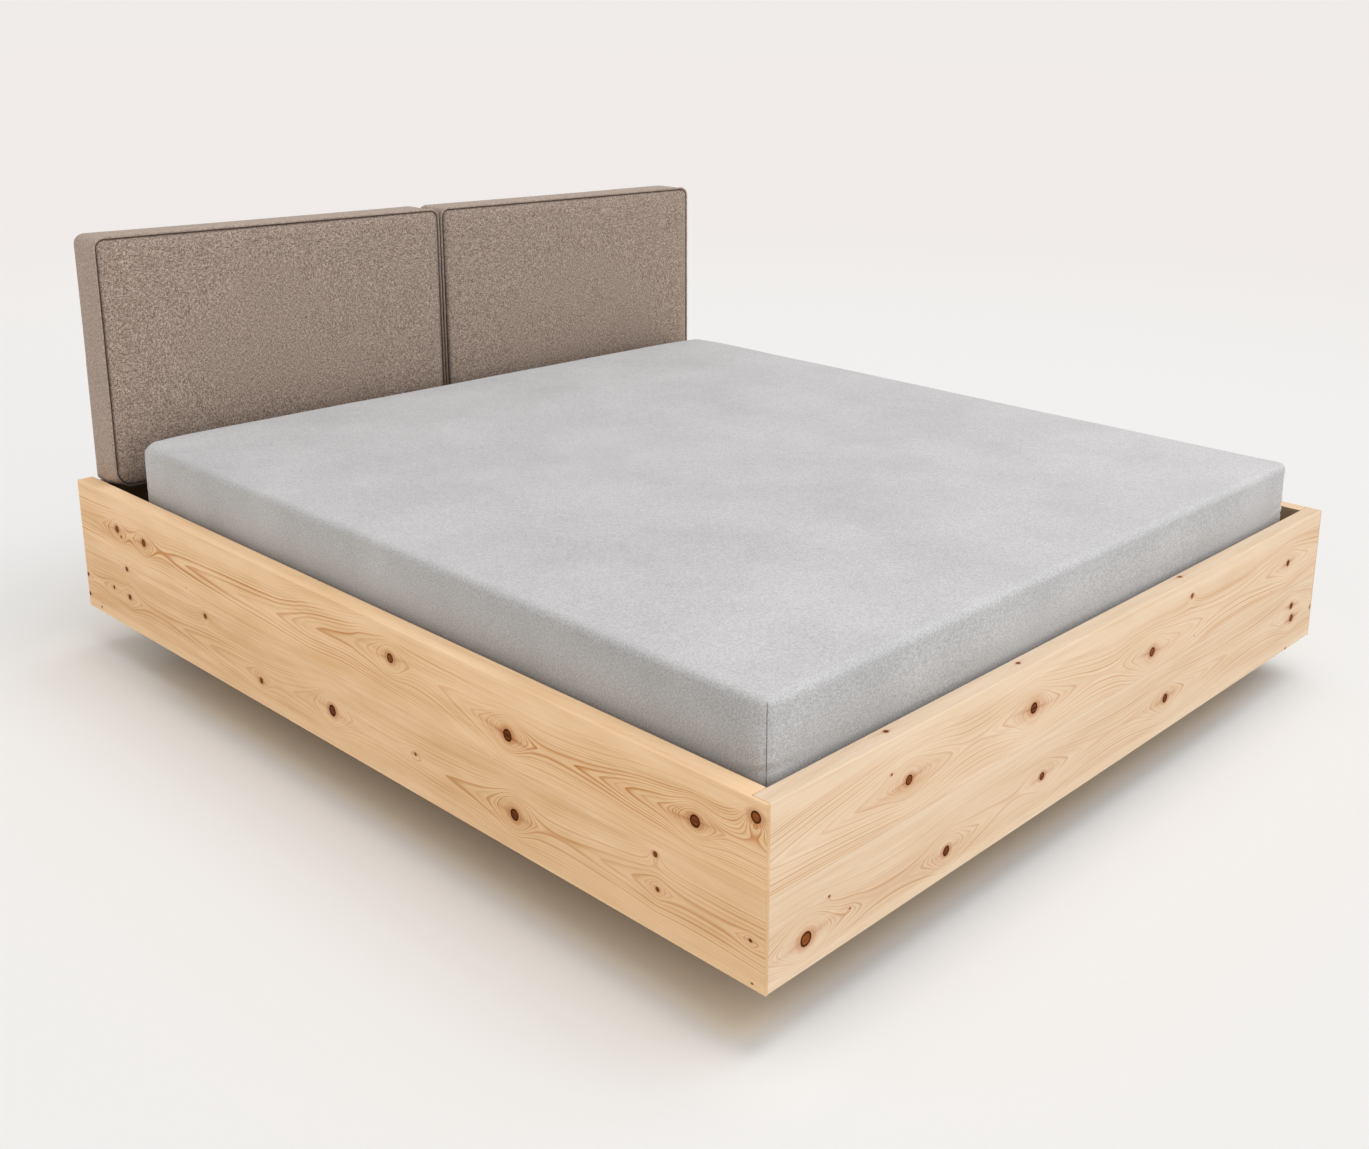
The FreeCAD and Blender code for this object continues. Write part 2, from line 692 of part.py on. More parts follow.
for name, side in SIDES:
    middle = cushion_middle(side)
    pocket = block(
        f"{middle} - {PANEL_WIDTH} / 2 - soft_clearance",
        f"{PANEL_FRONT} - soft_clearance",
        f"{CUSHION_BOTTOM} - overrun",
        f"{PANEL_WIDTH} + 2 * soft_clearance",
        f"{HEAD} - {PANEL_FRONT} + soft_clearance + overrun",
        f"{PANEL_HEIGHT} + soft_clearance + overrun",
    )
    slots = [block(
        f"{spot} - tongue_width / 2 - keeper_play",
        f"{PANEL_FRONT} - tongue_thickness - screw_head_height - keeper_play",
        f"{CUSHION_BOTTOM} - overrun",
        "tongue_width + 2 * keeper_play",
        "tongue_thickness + screw_head_height + 2 * keeper_play",
        "tongue_grip + overrun + keeper_play",
    ) for spot in tongue_middles(side)]
    hollow = joined([pocket] + slots, name=f"{name}_cushion_hollow")
    form = solids(cushion_pad(side).cut(piping_ring(side, mm("soft_clearance"))), f"{name}_cushion_form")
    part(f"{name}_headboard_cushion", cut(form, hollow))
    part(f"{name}_headboard_piping", solids(piping_ring(side, 0)))

    tongue_places = tongue_screw_places(side)
    tongue_tool = solids(Part.makeCompound(screw_bores(tongue_places, "tongue_thickness")), "tongue_bores")
    panel = block(
        f"{middle} - {PANEL_WIDTH} / 2",
        PANEL_FRONT,
        CUSHION_BOTTOM,
        PANEL_WIDTH,
        f"{CUSHION_BACK} - {PANEL_FRONT}",
        PANEL_HEIGHT,
    )
    part(f"{name}_headboard_panel", cut(panel, tongue_tool))
    part(f"{name}_headboard_lining", block(
        f"{middle} - {PANEL_WIDTH} / 2",
        CUSHION_BACK,
        CUSHION_BOTTOM,
        PANEL_WIDTH,
        "lining_thickness",
        PANEL_HEIGHT,
    ))
    bars = [block(
        f"{spot} - tongue_width / 2",
        f"{PANEL_FRONT} - tongue_thickness",
        f"{HEAD_BOARD_TOP} - tongue_reach",
        "tongue_width",
        "tongue_thickness",
        "tongue_reach + tongue_grip",
    ) for spot in tongue_middles(side)]
    part(f"{name}_headboard_tongues", cut(joined(bars, "Part::Compound"), tongue_tool))
    part(f"{name}_tongue_screws", solids(screws(tongue_places, "tongue_thickness")))


# Keepers: folded straps on the head board that the tongues slide into

def keeper(middle):
    """Half the folded strap's outline is mirrored to make the whole."""
    inside = "(tongue_width / 2 + keeper_play)"
    room = "(tongue_play + tongue_thickness + keeper_play)"
    outside = f"({inside} + steel_thickness)"
    wide = f"({outside} + keeper_flange)"
    front = f"({room} + steel_thickness)"
    right = [
        (f"{wide} + {wide}", front),
        (f"{wide} + {wide}", f"{front} - steel_thickness"),
        (f"{wide} + {outside}", f"{front} - steel_thickness"),
        (f"{wide} + {outside}", "0"),
    ]
    left = [
        (f"{wide} - {outside}", "0"),
        (f"{wide} - {outside}", f"{front} - steel_thickness"),
        ("0", f"{front} - steel_thickness"),
        ("0", front),
    ]
    inner = [
        (f"{wide} - {inside}", front),
        (f"{wide} - {inside}", "steel_thickness"),
        (f"{wide} + {inside}", "steel_thickness"),
        (f"{wide} + {inside}", front),
    ]
    body = profile(right + left + inner, "keeper_height", name="keeper")
    return place(
        body,
        f"{middle} - {wide}",
        f"{INNER_HEAD} - {front}",
        f"{HEAD_BOARD_TOP} - keeper_drop - keeper_height",
    )


keepers = [keeper(spot) for _, side in SIDES for spot in tongue_middles(side)]
keeper_tool = solids(Part.makeCompound(keeper_bores), "keeper_bores")
part("headboard_keepers", cut(joined(keepers, "Part::Compound"), keeper_tool))
part("keeper_screws", solids(screws(keeper_places, "steel_thickness")))

doc.recompute()

for each in doc.Objects:
    if "Invalid" in each.State or "Error" in each.State:
        raise RuntimeError(f"{each.Label} failed: {each.State}")
for piece in parts:
    if piece.Shape.isNull() or not piece.Shape.isValid() or not piece.Shape.Solids:
        raise RuntimeError(f"{piece.Label} has no valid solid")

os.makedirs("parts", exist_ok=True)
for piece in parts:
    piece.Shape.exportStep(f"parts/{piece.Label}.step")
print(f"{len(parts)} parts, {sum(len(piece.Shape.Solids) for piece in parts)} solids")
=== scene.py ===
"""Looks of the wooden bed: a floating pine frame, a grey fitted sheet and two upholstered cushions."""
import math

import bmesh
import bpy
import numpy as np
from mathutils import Matrix, Vector, noise


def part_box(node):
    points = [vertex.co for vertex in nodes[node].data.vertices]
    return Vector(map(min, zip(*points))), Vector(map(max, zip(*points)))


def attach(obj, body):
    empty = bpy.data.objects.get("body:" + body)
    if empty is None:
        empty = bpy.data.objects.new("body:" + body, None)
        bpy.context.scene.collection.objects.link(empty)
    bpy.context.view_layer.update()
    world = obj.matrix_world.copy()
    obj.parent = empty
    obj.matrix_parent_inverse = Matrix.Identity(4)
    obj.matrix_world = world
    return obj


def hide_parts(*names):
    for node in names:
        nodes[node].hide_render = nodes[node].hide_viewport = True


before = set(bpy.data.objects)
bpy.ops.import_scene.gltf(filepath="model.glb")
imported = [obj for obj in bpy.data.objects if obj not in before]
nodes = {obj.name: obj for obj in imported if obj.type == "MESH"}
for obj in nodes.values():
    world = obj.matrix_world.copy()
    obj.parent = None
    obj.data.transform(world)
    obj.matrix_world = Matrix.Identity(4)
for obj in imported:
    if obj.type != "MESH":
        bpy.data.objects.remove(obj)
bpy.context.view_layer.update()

# Sizes that several pieces share, in metres
RAIL_OUT = 0.970
BED_END = 1.130
BOARD_LOW = 0.100
BOARD_HEIGHT = 0.420 - BOARD_LOW
SHEET_LOW = (-0.914, -1.074, 0.346)
SHEET_HIGH = (0.886, 0.926, 0.546)
SLATS = ["slat_%02d" % n for n in range(1, 15)]


def tone(red, green, blue):
    """A colour given in the photograph's own 0 to 255 values, as the shader wants it."""
    parts = [c / 255 for c in (red, green, blue)]
    return tuple(c / 12.92 if c < 0.04045 else ((c + 0.055) / 1.055) ** 2.4 for c in parts) + (1.0,)


def add_object(name, data):
    made = bpy.data.objects.new(name, data)
    bpy.context.scene.collection.objects.link(made)
    return made


# Camera, fitted to the photograph, which is 1369 pixels wide
PHOTO_WIDTH = 1369
FOCAL_PIXELS = 1505.0
SHIFT_PIXELS = -150
SENSOR_WIDTH = 36
CAMERA_PLACE = (-2.4150, -2.4647, 1.5140)
CAMERA_TURNS = (49.656, 14.850, 1.502)


def make_camera():
    yaw, pitch, roll = (math.radians(a) for a in CAMERA_TURNS)
    ahead = Vector((math.sin(yaw) * math.cos(pitch), math.cos(yaw) * math.cos(pitch), -math.sin(pitch)))
    level = Vector((math.cos(yaw), -math.sin(yaw), 0))
    over = level.cross(ahead)
    side = level * math.cos(roll) + over * math.sin(roll)
    top = over * math.cos(roll) - level * math.sin(roll)
    data = bpy.data.cameras.new("camera")
    data.sensor_width = SENSOR_WIDTH
    data.lens = FOCAL_PIXELS / PHOTO_WIDTH * SENSOR_WIDTH
    data.shift_x = data.shift_y = SHIFT_PIXELS / PHOTO_WIDTH
    data.clip_start, data.clip_end = 0.05, 400
    camera = add_object("camera", data)
    turn = Matrix((side, top, -ahead)).transposed().to_4x4()
    camera.matrix_world = Matrix.Translation(CAMERA_PLACE) @ turn
    bpy.context.scene.camera = camera


# Node helpers: sockets that add and multiply like numbers
class Wire:
    def __init__(self, net, socket):
        self.net, self.socket = net, socket

    def __add__(self, other):
        return self.net.math("ADD", self, other)

    def __sub__(self, other):
        return self.net.math("SUBTRACT", self, other)

    def __rsub__(self, other):
        return self.net.math("SUBTRACT", other, self)

    def __mul__(self, other):
        return self.net.math("MULTIPLY", self, other)

    def __truediv__(self, other):
        return self.net.math("DIVIDE", self, other)

    def __abs__(self):
        return self.net.math("ABSOLUTE", self)

    __radd__ = __add__
    __rmul__ = __mul__


class Net:
    """A node tree and short ways to add to it."""

    def __init__(self, tree):
        self.tree = tree

    def node(self, kind, **settings):
        made = self.tree.nodes.new(kind)
        for name, value in settings.items():
            setattr(made, name, value)
        return made

    def feed(self, socket, value):
        if isinstance(value, Wire):
            self.tree.links.new(value.socket, socket)
        elif value is not None:
            socket.default_value = value

    def math(self, kind, a, b=None):
        made = self.node("ShaderNodeMath", operation=kind)
        self.feed(made.inputs[0], a)
        self.feed(made.inputs[1], b)
        return Wire(self, made.outputs[0])

    def most(self, a, b):
        return self.math("MAXIMUM", a, b)

    def exp(self, value):
        return self.math("EXPONENT", value)

    def vector(self, kind, a, b=None, out="Vector"):
        made = self.node("ShaderNodeVectorMath", operation=kind)
        self.feed(made.inputs[0], a)
        self.feed(made.inputs["Scale"] if kind == "SCALE" else made.inputs[1], b)
        return Wire(self, made.outputs[out])

    def length(self, vector):
        return self.vector("LENGTH", vector, out="Value")

    def join(self, x=0.0, y=0.0, z=0.0):
        made = self.node("ShaderNodeCombineXYZ")
        for socket, value in zip(made.inputs, (x, y, z)):
            self.feed(socket, value)
        return Wire(self, made.outputs[0])

    def split(self, vector):
        made = self.node("ShaderNodeSeparateXYZ")
        self.feed(made.inputs[0], vector)
        return [Wire(self, s) for s in made.outputs]

    def place(self):
        return Wire(self, self.node("ShaderNodeTexCoord").outputs["Object"])

    def facing(self):
        return Wire(self, self.node("ShaderNodeNewGeometry").outputs["Normal"])

    def marked(self, name):
        return Wire(self, self.node("ShaderNodeAttribute", attribute_name=name).outputs["Fac"])

    def noise(self, vector, scale=1.0, detail=2.0, rough=0.5, warp=0.0):
        made = self.node("ShaderNodeTexNoise")
        self.feed(made.inputs["Vector"], vector)
        for name, value in (("Scale", scale), ("Detail", detail), ("Roughness", rough), ("Distortion", warp)):
            made.inputs[name].default_value = value
        return Wire(self, made.outputs["Fac"])

    def chance(self, value):
        """The same random number from 0 to 1 for the same value."""
        made = self.node("ShaderNodeTexWhiteNoise", noise_dimensions="1D")
        self.feed(made.inputs["W"], value)
        return Wire(self, made.outputs["Value"])

    def cells(self, vector, scale):
        made = self.node("ShaderNodeTexVoronoi")
        self.feed(made.inputs["Vector"], vector)
        made.inputs["Scale"].default_value = scale
        return Wire(self, made.outputs["Distance"])

    def step(self, value, start, end, low=0.0, high=1.0, soft=True):
        """Goes from low to high while value goes from start to end."""
        made = self.node("ShaderNodeMapRange", interpolation_type="SMOOTHSTEP" if soft else "LINEAR")
        for socket, given in zip(made.inputs, (value, start, end, low, high)):
            self.feed(socket, given)
        return Wire(self, made.outputs[0])

    def curve(self, value, points):
        """A smooth curve through given points from 0 to 1."""
        made = self.node("ShaderNodeFloatCurve")
        line = made.mapping.curves[0]
        line.points[0].location, line.points[1].location = points[0], points[-1]
        for point in points[1:-1]:
            line.points.new(*point)
        made.mapping.update()
        for before, point, after in zip(line.points, line.points[1:], line.points[2:]):
            if point.location[1] < min(before.location[1], after.location[1]):
                point.handle_type = "VECTOR"
        made.mapping.update()
        self.feed(made.inputs["Value"], value)
        return Wire(self, made.outputs[0])

    def mix(self, share, a, b, kind="MIX"):
        made = self.node("ShaderNodeMix", data_type="RGBA", blend_type=kind)
        self.feed(made.inputs[0], share)
        self.feed(made.inputs[6], a)
        self.feed(made.inputs[7], b)
        return Wire(self, made.outputs[2])

    def bright(self, colour, factor):
        """The colour, lighter or darker by a factor."""
        return self.vector("SCALE", colour, factor)

    def bump(self, height, depth, strength=1.0):
        made = self.node("ShaderNodeBump")
        made.inputs["Strength"].default_value = strength
        made.inputs["Distance"].default_value = depth
        self.feed(made.inputs["Height"], height)
        return Wire(self, made.outputs[0])


def material(name, roughness, level, sheen=0.0, sheen_rough=0.5, metal=0.0):
    made = bpy.data.materials.new(name)
    made.use_nodes = True
    net = Net(made.node_tree)
    shader = made.node_tree.nodes["Principled BSDF"]
    for socket, value in (("Roughness", roughness), ("Specular IOR Level", level), ("Sheen Weight", sheen),
                          ("Sheen Roughness", sheen_rough), ("Metallic", metal)):
        shader.inputs[socket].default_value = value
    net.shader, net.material = shader, made
    return net


def finish(net, colour, bump=None, roughness=None):
    for socket, wire in (("Base Color", colour), ("Normal", bump), ("Roughness", roughness)):
        net.feed(net.shader.inputs[socket], wire)
    return net.material


# Wood: year rings cut lengthways, bent round the knots
KNOT_PARTS = ("Bend", "Core", "Rim", "Halo")


def knot_group():
    """One knot: it adds its bend of the rings and its dark parts to what comes in."""
    tree = bpy.data.node_groups.new("knot", "ShaderNodeTree")
    net = Net(tree)
    tree.interface.new_socket("Spot", in_out="INPUT", socket_type="NodeSocketVector")
    for name in ("Along", "Up", "Radius", "Swirl", "Tail", *KNOT_PARTS):
        tree.interface.new_socket(name, in_out="INPUT", socket_type="NodeSocketFloat")
    for name in KNOT_PARTS:
        tree.interface.new_socket(name, in_out="OUTPUT", socket_type="NodeSocketFloat")
    come, go = net.node("NodeGroupInput"), net.node("NodeGroupOutput")
    take = {s.name: Wire(net, s) for s in come.outputs if s.name}
    x, y, _ = net.split(take["Spot"])
    dx, dy = x - take["Along"], y - take["Up"]
    wide = take["Radius"]
    size = wide * 0.74
    far = net.length(net.join(dx, dy)) / size
    core = net.step(far, 1.03, 0.93)
    rim = core * net.step(far, 0.50, 0.86) * net.step(size, 0.002, 0.006, 0.60, 1.0)
    halo = net.step(net.length(net.join(dx * 0.72, dy)) / size, 1.9, 0.9)
    # The rings flow round the knot in pointed eyes, more of them on one side
    reach = wide * 1.30 + 0.008
    swing = net.length(net.join(dx * 0.60, dy + take["Swirl"] * wide * 0.75)) / reach
    bend = net.exp(net.math("POWER", swing, 1.5) * -1.0) * (wide * 1.30)
    close = far * 0.36
    bend = bend + net.exp(close * close * -1.0) * (wide * 1.75)
    # Short dark checks run out of the knot along the grain
    slant = abs(dy + dx * take["Swirl"] * 0.10)
    tail = net.exp(slant / (size * -0.44) - abs(dx) / (size * 2.6)) * take["Tail"] * 2.6
    check = net.exp(slant / (size * -0.14) - abs(dx) / (size * 1.3)) * take["Tail"]
    net.feed(go.inputs["Bend"], take["Bend"] - bend)
    net.feed(go.inputs["Core"], net.most(take["Core"], core))
    net.feed(go.inputs["Rim"], net.most(take["Rim"], net.most(rim, check)))
    net.feed(go.inputs["Halo"], net.most(take["Halo"], net.most(halo * 0.85, tail)))
    return tree


def add_knots(net, along, up, length, knots, group):
    """Runs the knots over a board: shares of its length and height, a width in mm, a side and a tail."""
    spot = net.join(along, up)
    sums = dict.fromkeys(KNOT_PARTS, 0.0)
    for along_share, up_share, width, side, tail in knots:
        made = net.node("ShaderNodeGroup", node_tree=group)
        net.feed(made.inputs["Spot"], spot)
        for name, value in (("Along", along_share * length), ("Up", up_share * BOARD_HEIGHT),
                            ("Radius", width / 2000), ("Swirl", side), ("Tail", tail)):
            made.inputs[name].default_value = value
        for name in sums:
            net.feed(made.inputs[name], sums[name])
            sums[name] = Wire(net, made.outputs[name])
    return sums


RING_WIDTH = 0.0045
# Painted shade on the boards' inner faces
INNER_SHADE = 0.42


def board_wood(name, axes, half, outer, knots, depths, heights, tones, group, seed, bold, painted_top_shade, shade):
    """Glued softwood board. Axes are along, up and through, half is half its length, and outer is the outer
    face's place and the way into the board. Shade is the painted shade on the inner face near the board's
    first end;
    the rest of the inner face gets INNER_SHADE of painted shade, and the top faces get their own painted
    shade."""
    base, late = tones
    length = 2 * half
    net = material(name, roughness=0.58, level=0.04)
    parts = net.split(net.place())
    along = parts[axes[0]] + half
    up = parts[axes[1]] - BOARD_LOW
    inward = (parts[axes[2]] - outer[0]) * outer[1]
    share = along / length
    up_share = up / BOARD_HEIGHT
    # A gentle wander of the grain
    slow = net.noise(net.join(along * 1.6 + seed, up * 5.0, inward * 5.0), 1.0, 2.0) - 0.5
    fast = net.noise(net.join(along * 9.0 + seed, up * 45.0, inward * 45.0), 1.0, 1.0) - 0.5
    wander = slow * 0.034
    normal = net.split(net.facing())
    topside = net.step(normal[2], 0.5, 0.9)
    sums = add_knots(net, along + slow * 0.01, up + fast * 0.004 + inward * topside, length, knots, group)
    # Two wide staves, glued at mid height, each with its own heart line behind the face
    upper = net.step(up_share, 0.4975, 0.5005)
    low_deep, high_deep = net.curve(share, depths[0]), net.curve(share, depths[1])
    low_up, high_up = net.curve(share, heights[0]), net.curve(share, heights[1])
    heart_deep = (low_deep + (high_deep - low_deep) * upper) * 0.21 + 0.003
    heart_up = (low_up + (high_up - low_up) * upper) * BOARD_HEIGHT
    across = up - heart_up + wander * 0.5 * (1.0 - upper * 2.0)
    rings = net.math("POWER", abs(across), 1.5) + net.math("POWER", heart_deep + inward * 0.6, 1.5)
    rings = net.math("POWER", rings, 0.6667) + sums["Bend"] + fast * 0.0011 + slow * 0.006 + upper * 0.37
    count = rings / RING_WIDTH + net.noise(net.join(rings * 65.0), 1.0, 1.0) * 1.7
    phase = net.math("FRACT", count)
    number = net.math("FLOOR", count)
    luck = net.chance(number + seed)
    # Late wood: builds up slowly, ends sharply
    line = net.step(phase, 0.38, 0.94) * net.step(phase, 1.0, 0.96)
    strength = net.step(luck, 0.10, 0.90, 0.24, 1.0, soft=False)
    band = net.noise(net.join(rings * 55.0 + seed * 3.0, along * 0.8), 1.0, 1.0)
    # The staves' outer edges and the glue zone are straight-grained and pale
    edge = net.most(net.step(up_share, 0.885, 0.935), net.step(up_share, 0.085, 0.045))
    patch = net.noise(net.join(along * 2.2, up * 16.0 + seed, inward * 8.0), 1.0, 3.0)
    open_grain = net.step(abs(across), 0.082, 0.026, 0.34, 1.0)
    end = net.step(abs(normal[axes[0]]), 0.25, 0.60) * net.step(inward, 0.012, 0.006)
    visible = strength * open_grain * net.step(patch, 0.34, 0.66, 0.46, 1.0) * (1.0 - edge * 0.62)
    visible = visible * (0.76 + upper * 0.24) * (1.0 - end * 0.85)
    fibre = net.noise(net.join(along * 14.0, up * 620.0, inward * 620.0), 1.0, 2.0, 0.6)
    streak = net.noise(net.join(along * 2.0 + seed, up * 85.0, inward * 85.0), 1.0, 3.0, 0.6)
    cloud = net.noise(net.join(along * 7.0 + seed, up * 24.0, inward * 24.0), 1.0, 2.0)
    # Tones from broad to fine: bands, year rings, the end's own tone, streaks, patches and fibres
    colour = net.mix(net.step(band, 0.42, 0.72) * open_grain * (1.0 - edge) * (0.15 * bold), base, late)
    colour = net.mix(line * visible * (0.94 * bold), colour, late)
    colour = net.mix(end * 0.7, colour, tone(214, 178, 136))
    colour = net.mix(net.step(streak, 0.45, 0.85) * (0.26 * bold), colour, late)
    blotch, cloudy = 0.11 * bold ** 3, 0.25 * bold ** 3
    shift = net.step(patch, 0.2, 0.8, 1.0 + blotch, 1.0 - blotch, soft=False) + (cloud - 0.5) * cloudy
    shift = shift + (net.chance(number * 1.7 + seed) - 0.5) * 0.05
    below = net.step(up_share, 0.42, 0.495) * (1.0 - upper)
    shift = shift + (fibre - 0.5) * 0.10 + edge * 0.035 + below * 0.06
    shift = shift + net.step(streak, 0.38, 0.24) * 0.05 - 1.0
    # Dark parts turn more orange and light parts paler
    colour = net.vector("MULTIPLY", colour, net.join(shift * 0.67 + 1.0, shift + 1.0, shift * 1.68 + 1.0))
    # Painted light: a painted highlight along the face's top and bottom arrises, painted shade on the top
    # faces, and painted shade on the inner face, with its own amount near the board's first end
    painted_arris_highlight = net.most(net.step(up_share, 0.986, 0.996), net.step(up_share, 0.012, 0.003)) * (1.0 - topside)
    painted_inner_shade = net.step(inward, 0.030, 0.037) * (1.0 - topside)
    painted_inner_shade = painted_inner_shade * net.step(share, 0.17, 0.10, INNER_SHADE, shade)
    colour = net.bright(colour, upper * 0.034 + 1.004 - topside * painted_top_shade + painted_arris_highlight * 0.045 - painted_inner_shade)
    # Fine glue lines
    glue = net.step(abs(up_share - 0.4985), 0.0045, 0.0008)
    faint = net.step(abs(up_share - 0.905), 0.004, 0.001)
    colour = net.bright(colour, 1.0 - glue * 0.13 + faint * 0.07)
    # Pin knots and resin flecks
    dots = net.cells(net.join(along * 7.0 + seed, up * 15.0, inward * 15.0), 1.0)
    colour = net.mix(net.step(dots, 0.035, 0.012) * 0.55, colour, BARK)
    # Knots over all
    colour = net.mix(sums["Halo"] * 0.60, colour, GLOW)
    heart = net.noise(net.join(along * 60.0, up * 260.0, inward * 60.0), 1.0, 2.0)
    lot = net.step(net.noise(net.join(along * 3.7 + seed, up * 6.0), 1.0, 0.0), 0.35, 0.65)
    core_colour = net.mix(net.step(heart, 0.3, 0.7) * 0.4 + lot * 0.6, tone(86, 32, 3), tone(152, 84, 30))
    colour = net.mix(sums["Core"] * 0.95, colour, core_colour)
    colour = net.mix(net.math("MINIMUM", sums["Rim"] * 0.96, 0.96), colour, BARK)
    height = fibre * 0.5 + line * strength * 0.35
    gloss = 0.50 + fibre * 0.10 + line * 0.04
    return finish(net, colour, net.bump(height, 0.00012, 0.5), gloss)


# Knots read off the photograph: share of length, share of height, width in mm, side of the swirl, tail
rail_knot_shares = [
    (0.916, 0.754, 24, 1, 0.5), (0.908, 0.706, 9, 1, 0.2), (0.858, 0.748, 24, 1, 0.6),
    (0.903, 0.47, 15, -1, 0.3), (0.998, 0.1, 12, 1, 0.2), (0.998, 0.257, 12, -1, 0.2),
    (0.937, 0.265, 11, 1, 0.3), (0.902, 0.255, 17, -1, 0.4), (0.972, 0.038, 7, 1, 0),
    (0.741, 0.429, 17, -1, 0.4), (0.641, 0.175, 17, -1, 0.6), (0.52, 0.245, 33, -1, 0.5),
    (0.426, 0.801, 27, 1, 0.6), (0.396, 0.262, 9, 1, 0.7), (0.271, 0.687, 32, -1, 0.9),
    (0.265, 0.227, 31, -1, 0.5), (0.067, 0.736, 31, 1, 0.7), (0.011, 0.91, 29, 1, 0.2),
    (0.106, 0.443, 13, 1, 0.1), (0.104, 0.254, 11, -1, 0.2), (0.014, 0.254, 9, 1, 0.8),
    (0.012, 0.03, 5, 1, 0.5),
]
foot_knot_shares = [
    (0.047, 0.172, 35, -1, 0.5), (0.233, 0.157, 25, -1, 0.5), (0.174, 0.716, 25, -1, 0.8),
    (0.363, 0.719, 30, 1, 0.7), (0.385, 0.243, 22, -1, 0.6), (0.587, 0.637, 29, 1, 0.7),
    (0.625, 0.241, 27, -1, 0.6), (0.075, 0.326, 6, 1, 0.3), (0.101, 0.187, 5, 1, 0.3),
    (0.15, 0.8, 6, 1, 0.3), (0.667, 0.879, 14, 1, 0.2), (0.913, 0.717, 20, -1, 0.9),
    (0.937, 0.342, 22, 1, 0.8), (0.941, 0.239, 25, -1, 0.9), (0.998, 0.236, 14, 1, 0.2),
    (0.933, 0, 12, 1, 0.2), (0.156, 1.075, 12, 1, 0.6), (0.349, 1.068, 11, -1, 0.6),
    (0.66, 1.08, 12, 1, 0.8),
]
plain_knot_shares = [
    (0.08, 0.7, 27, 1, 0.6), (0.19, 0.23, 30, -1, 0.5), (0.33, 0.76, 22, -1, 0.5), (0.44, 0.3, 14, 1, 0.3),
    (0.56, 0.68, 31, 1, 0.7), (0.64, 0.19, 24, -1, 0.6), (0.79, 0.74, 18, -1, 0.4),
    (0.88, 0.27, 29, 1, 0.6), (0.965, 0.62, 12, 1, 0.2),
]
# Depth of the heart line behind each stave's face, for the low and the high stave: it comes up to each knot
rail_depth_shares = (
    [(0, 0.24), (0.09, 0.25), (0.104, 0.24), (0.15, 0.28), (0.24, 0.31), (0.265, 0.29), (0.33, 0.34),
     (0.49, 0.37), (0.52, 0.35), (0.6, 0.4), (0.7, 0.43), (0.86, 0.47), (0.9, 0.44), (1, 0.48)],
    [(0, 0.03), (0.067, 0.04), (0.09, 0.063), (0.119, 0.088), (0.137, 0.113), (0.152, 0.137),
     (0.175, 0.162), (0.21, 0.18), (0.271, 0.19), (0.285, 0.21), (0.309, 0.236), (0.336, 0.26),
     (0.36, 0.285), (0.4, 0.3), (0.426, 0.305), (0.468, 0.335), (0.487, 0.36), (0.55, 0.385),
     (0.575, 0.41), (0.61, 0.435), (0.7, 0.46), (0.78, 0.48), (0.83, 0.5), (0.858, 0.48), (0.93, 0.52),
     (1, 0.53)],
)
foot_depth_shares = (
    [(0, 0.2), (0.047, 0.15), (0.1, 0.22), (0.14, 0.26), (0.19, 0.25), (0.233, 0.2), (0.29, 0.25),
     (0.34, 0.28), (0.385, 0.24), (0.47, 0.32), (0.55, 0.33), (0.625, 0.26), (0.74, 0.34), (0.86, 0.36),
     (0.94, 0.3), (1, 0.34)],
    [(0, 0.3), (0.07, 0.25), (0.13, 0.2), (0.174, 0.15), (0.22, 0.2), (0.265, 0.25), (0.32, 0.22),
     (0.363, 0.17), (0.42, 0.24), (0.5, 0.28), (0.55, 0.22), (0.587, 0.19), (0.66, 0.27), (0.76, 0.34),
     (0.87, 0.3), (0.913, 0.26), (1, 0.33)],
)
plain_depth_shares = (
    [(0, 0.3), (0.19, 0.12), (0.4, 0.55), (0.64, 0.16), (0.88, 0.4), (1, 0.6)],
    [(0, 0.5), (0.08, 0.15), (0.3, 0.6), (0.33, 0.2), (0.56, 0.12), (0.79, 0.6), (1, 0.25)],
)
# Height of the heart line on the board, for the low and the high stave
rail_heart_shares = (
    [(0, 0.25), (0.104, 0.254), (0.265, 0.227), (0.52, 0.245), (0.641, 0.2), (0.9, 0.255), (1, 0.25)],
    [(0, 0.74), (0.067, 0.736), (0.271, 0.687), (0.426, 0.801), (0.6, 0.72), (0.858, 0.748), (1, 0.75)],
)
foot_heart_shares = (
    [(0, 0.18), (0.047, 0.172), (0.233, 0.157), (0.385, 0.243), (0.625, 0.241), (0.94, 0.29), (1, 0.27)],
    [(0, 0.68), (0.174, 0.716), (0.363, 0.719), (0.587, 0.637), (0.913, 0.717), (1, 0.72)],
)
plain_heart_shares = (
    [(0, 0.24), (0.19, 0.23), (0.64, 0.19), (0.88, 0.27), (1, 0.25)],
    [(0, 0.72), (0.08, 0.7), (0.33, 0.76), (0.56, 0.68), (0.79, 0.74), (1, 0.7)],
)

HONEY = tone(250, 213, 169)
HONEY_LATE = tone(200, 124, 50)
MIDDLE = tone(243, 212, 176)
MIDDLE_LATE = tone(198, 126, 56)
PALE = tone(237, 212, 182)
PALE_LATE = tone(196, 128, 62)
BARK = tone(70, 26, 2)
GLOW = tone(188, 104, 34)
BATTEN = (tone(228, 196, 152), tone(190, 140, 90))


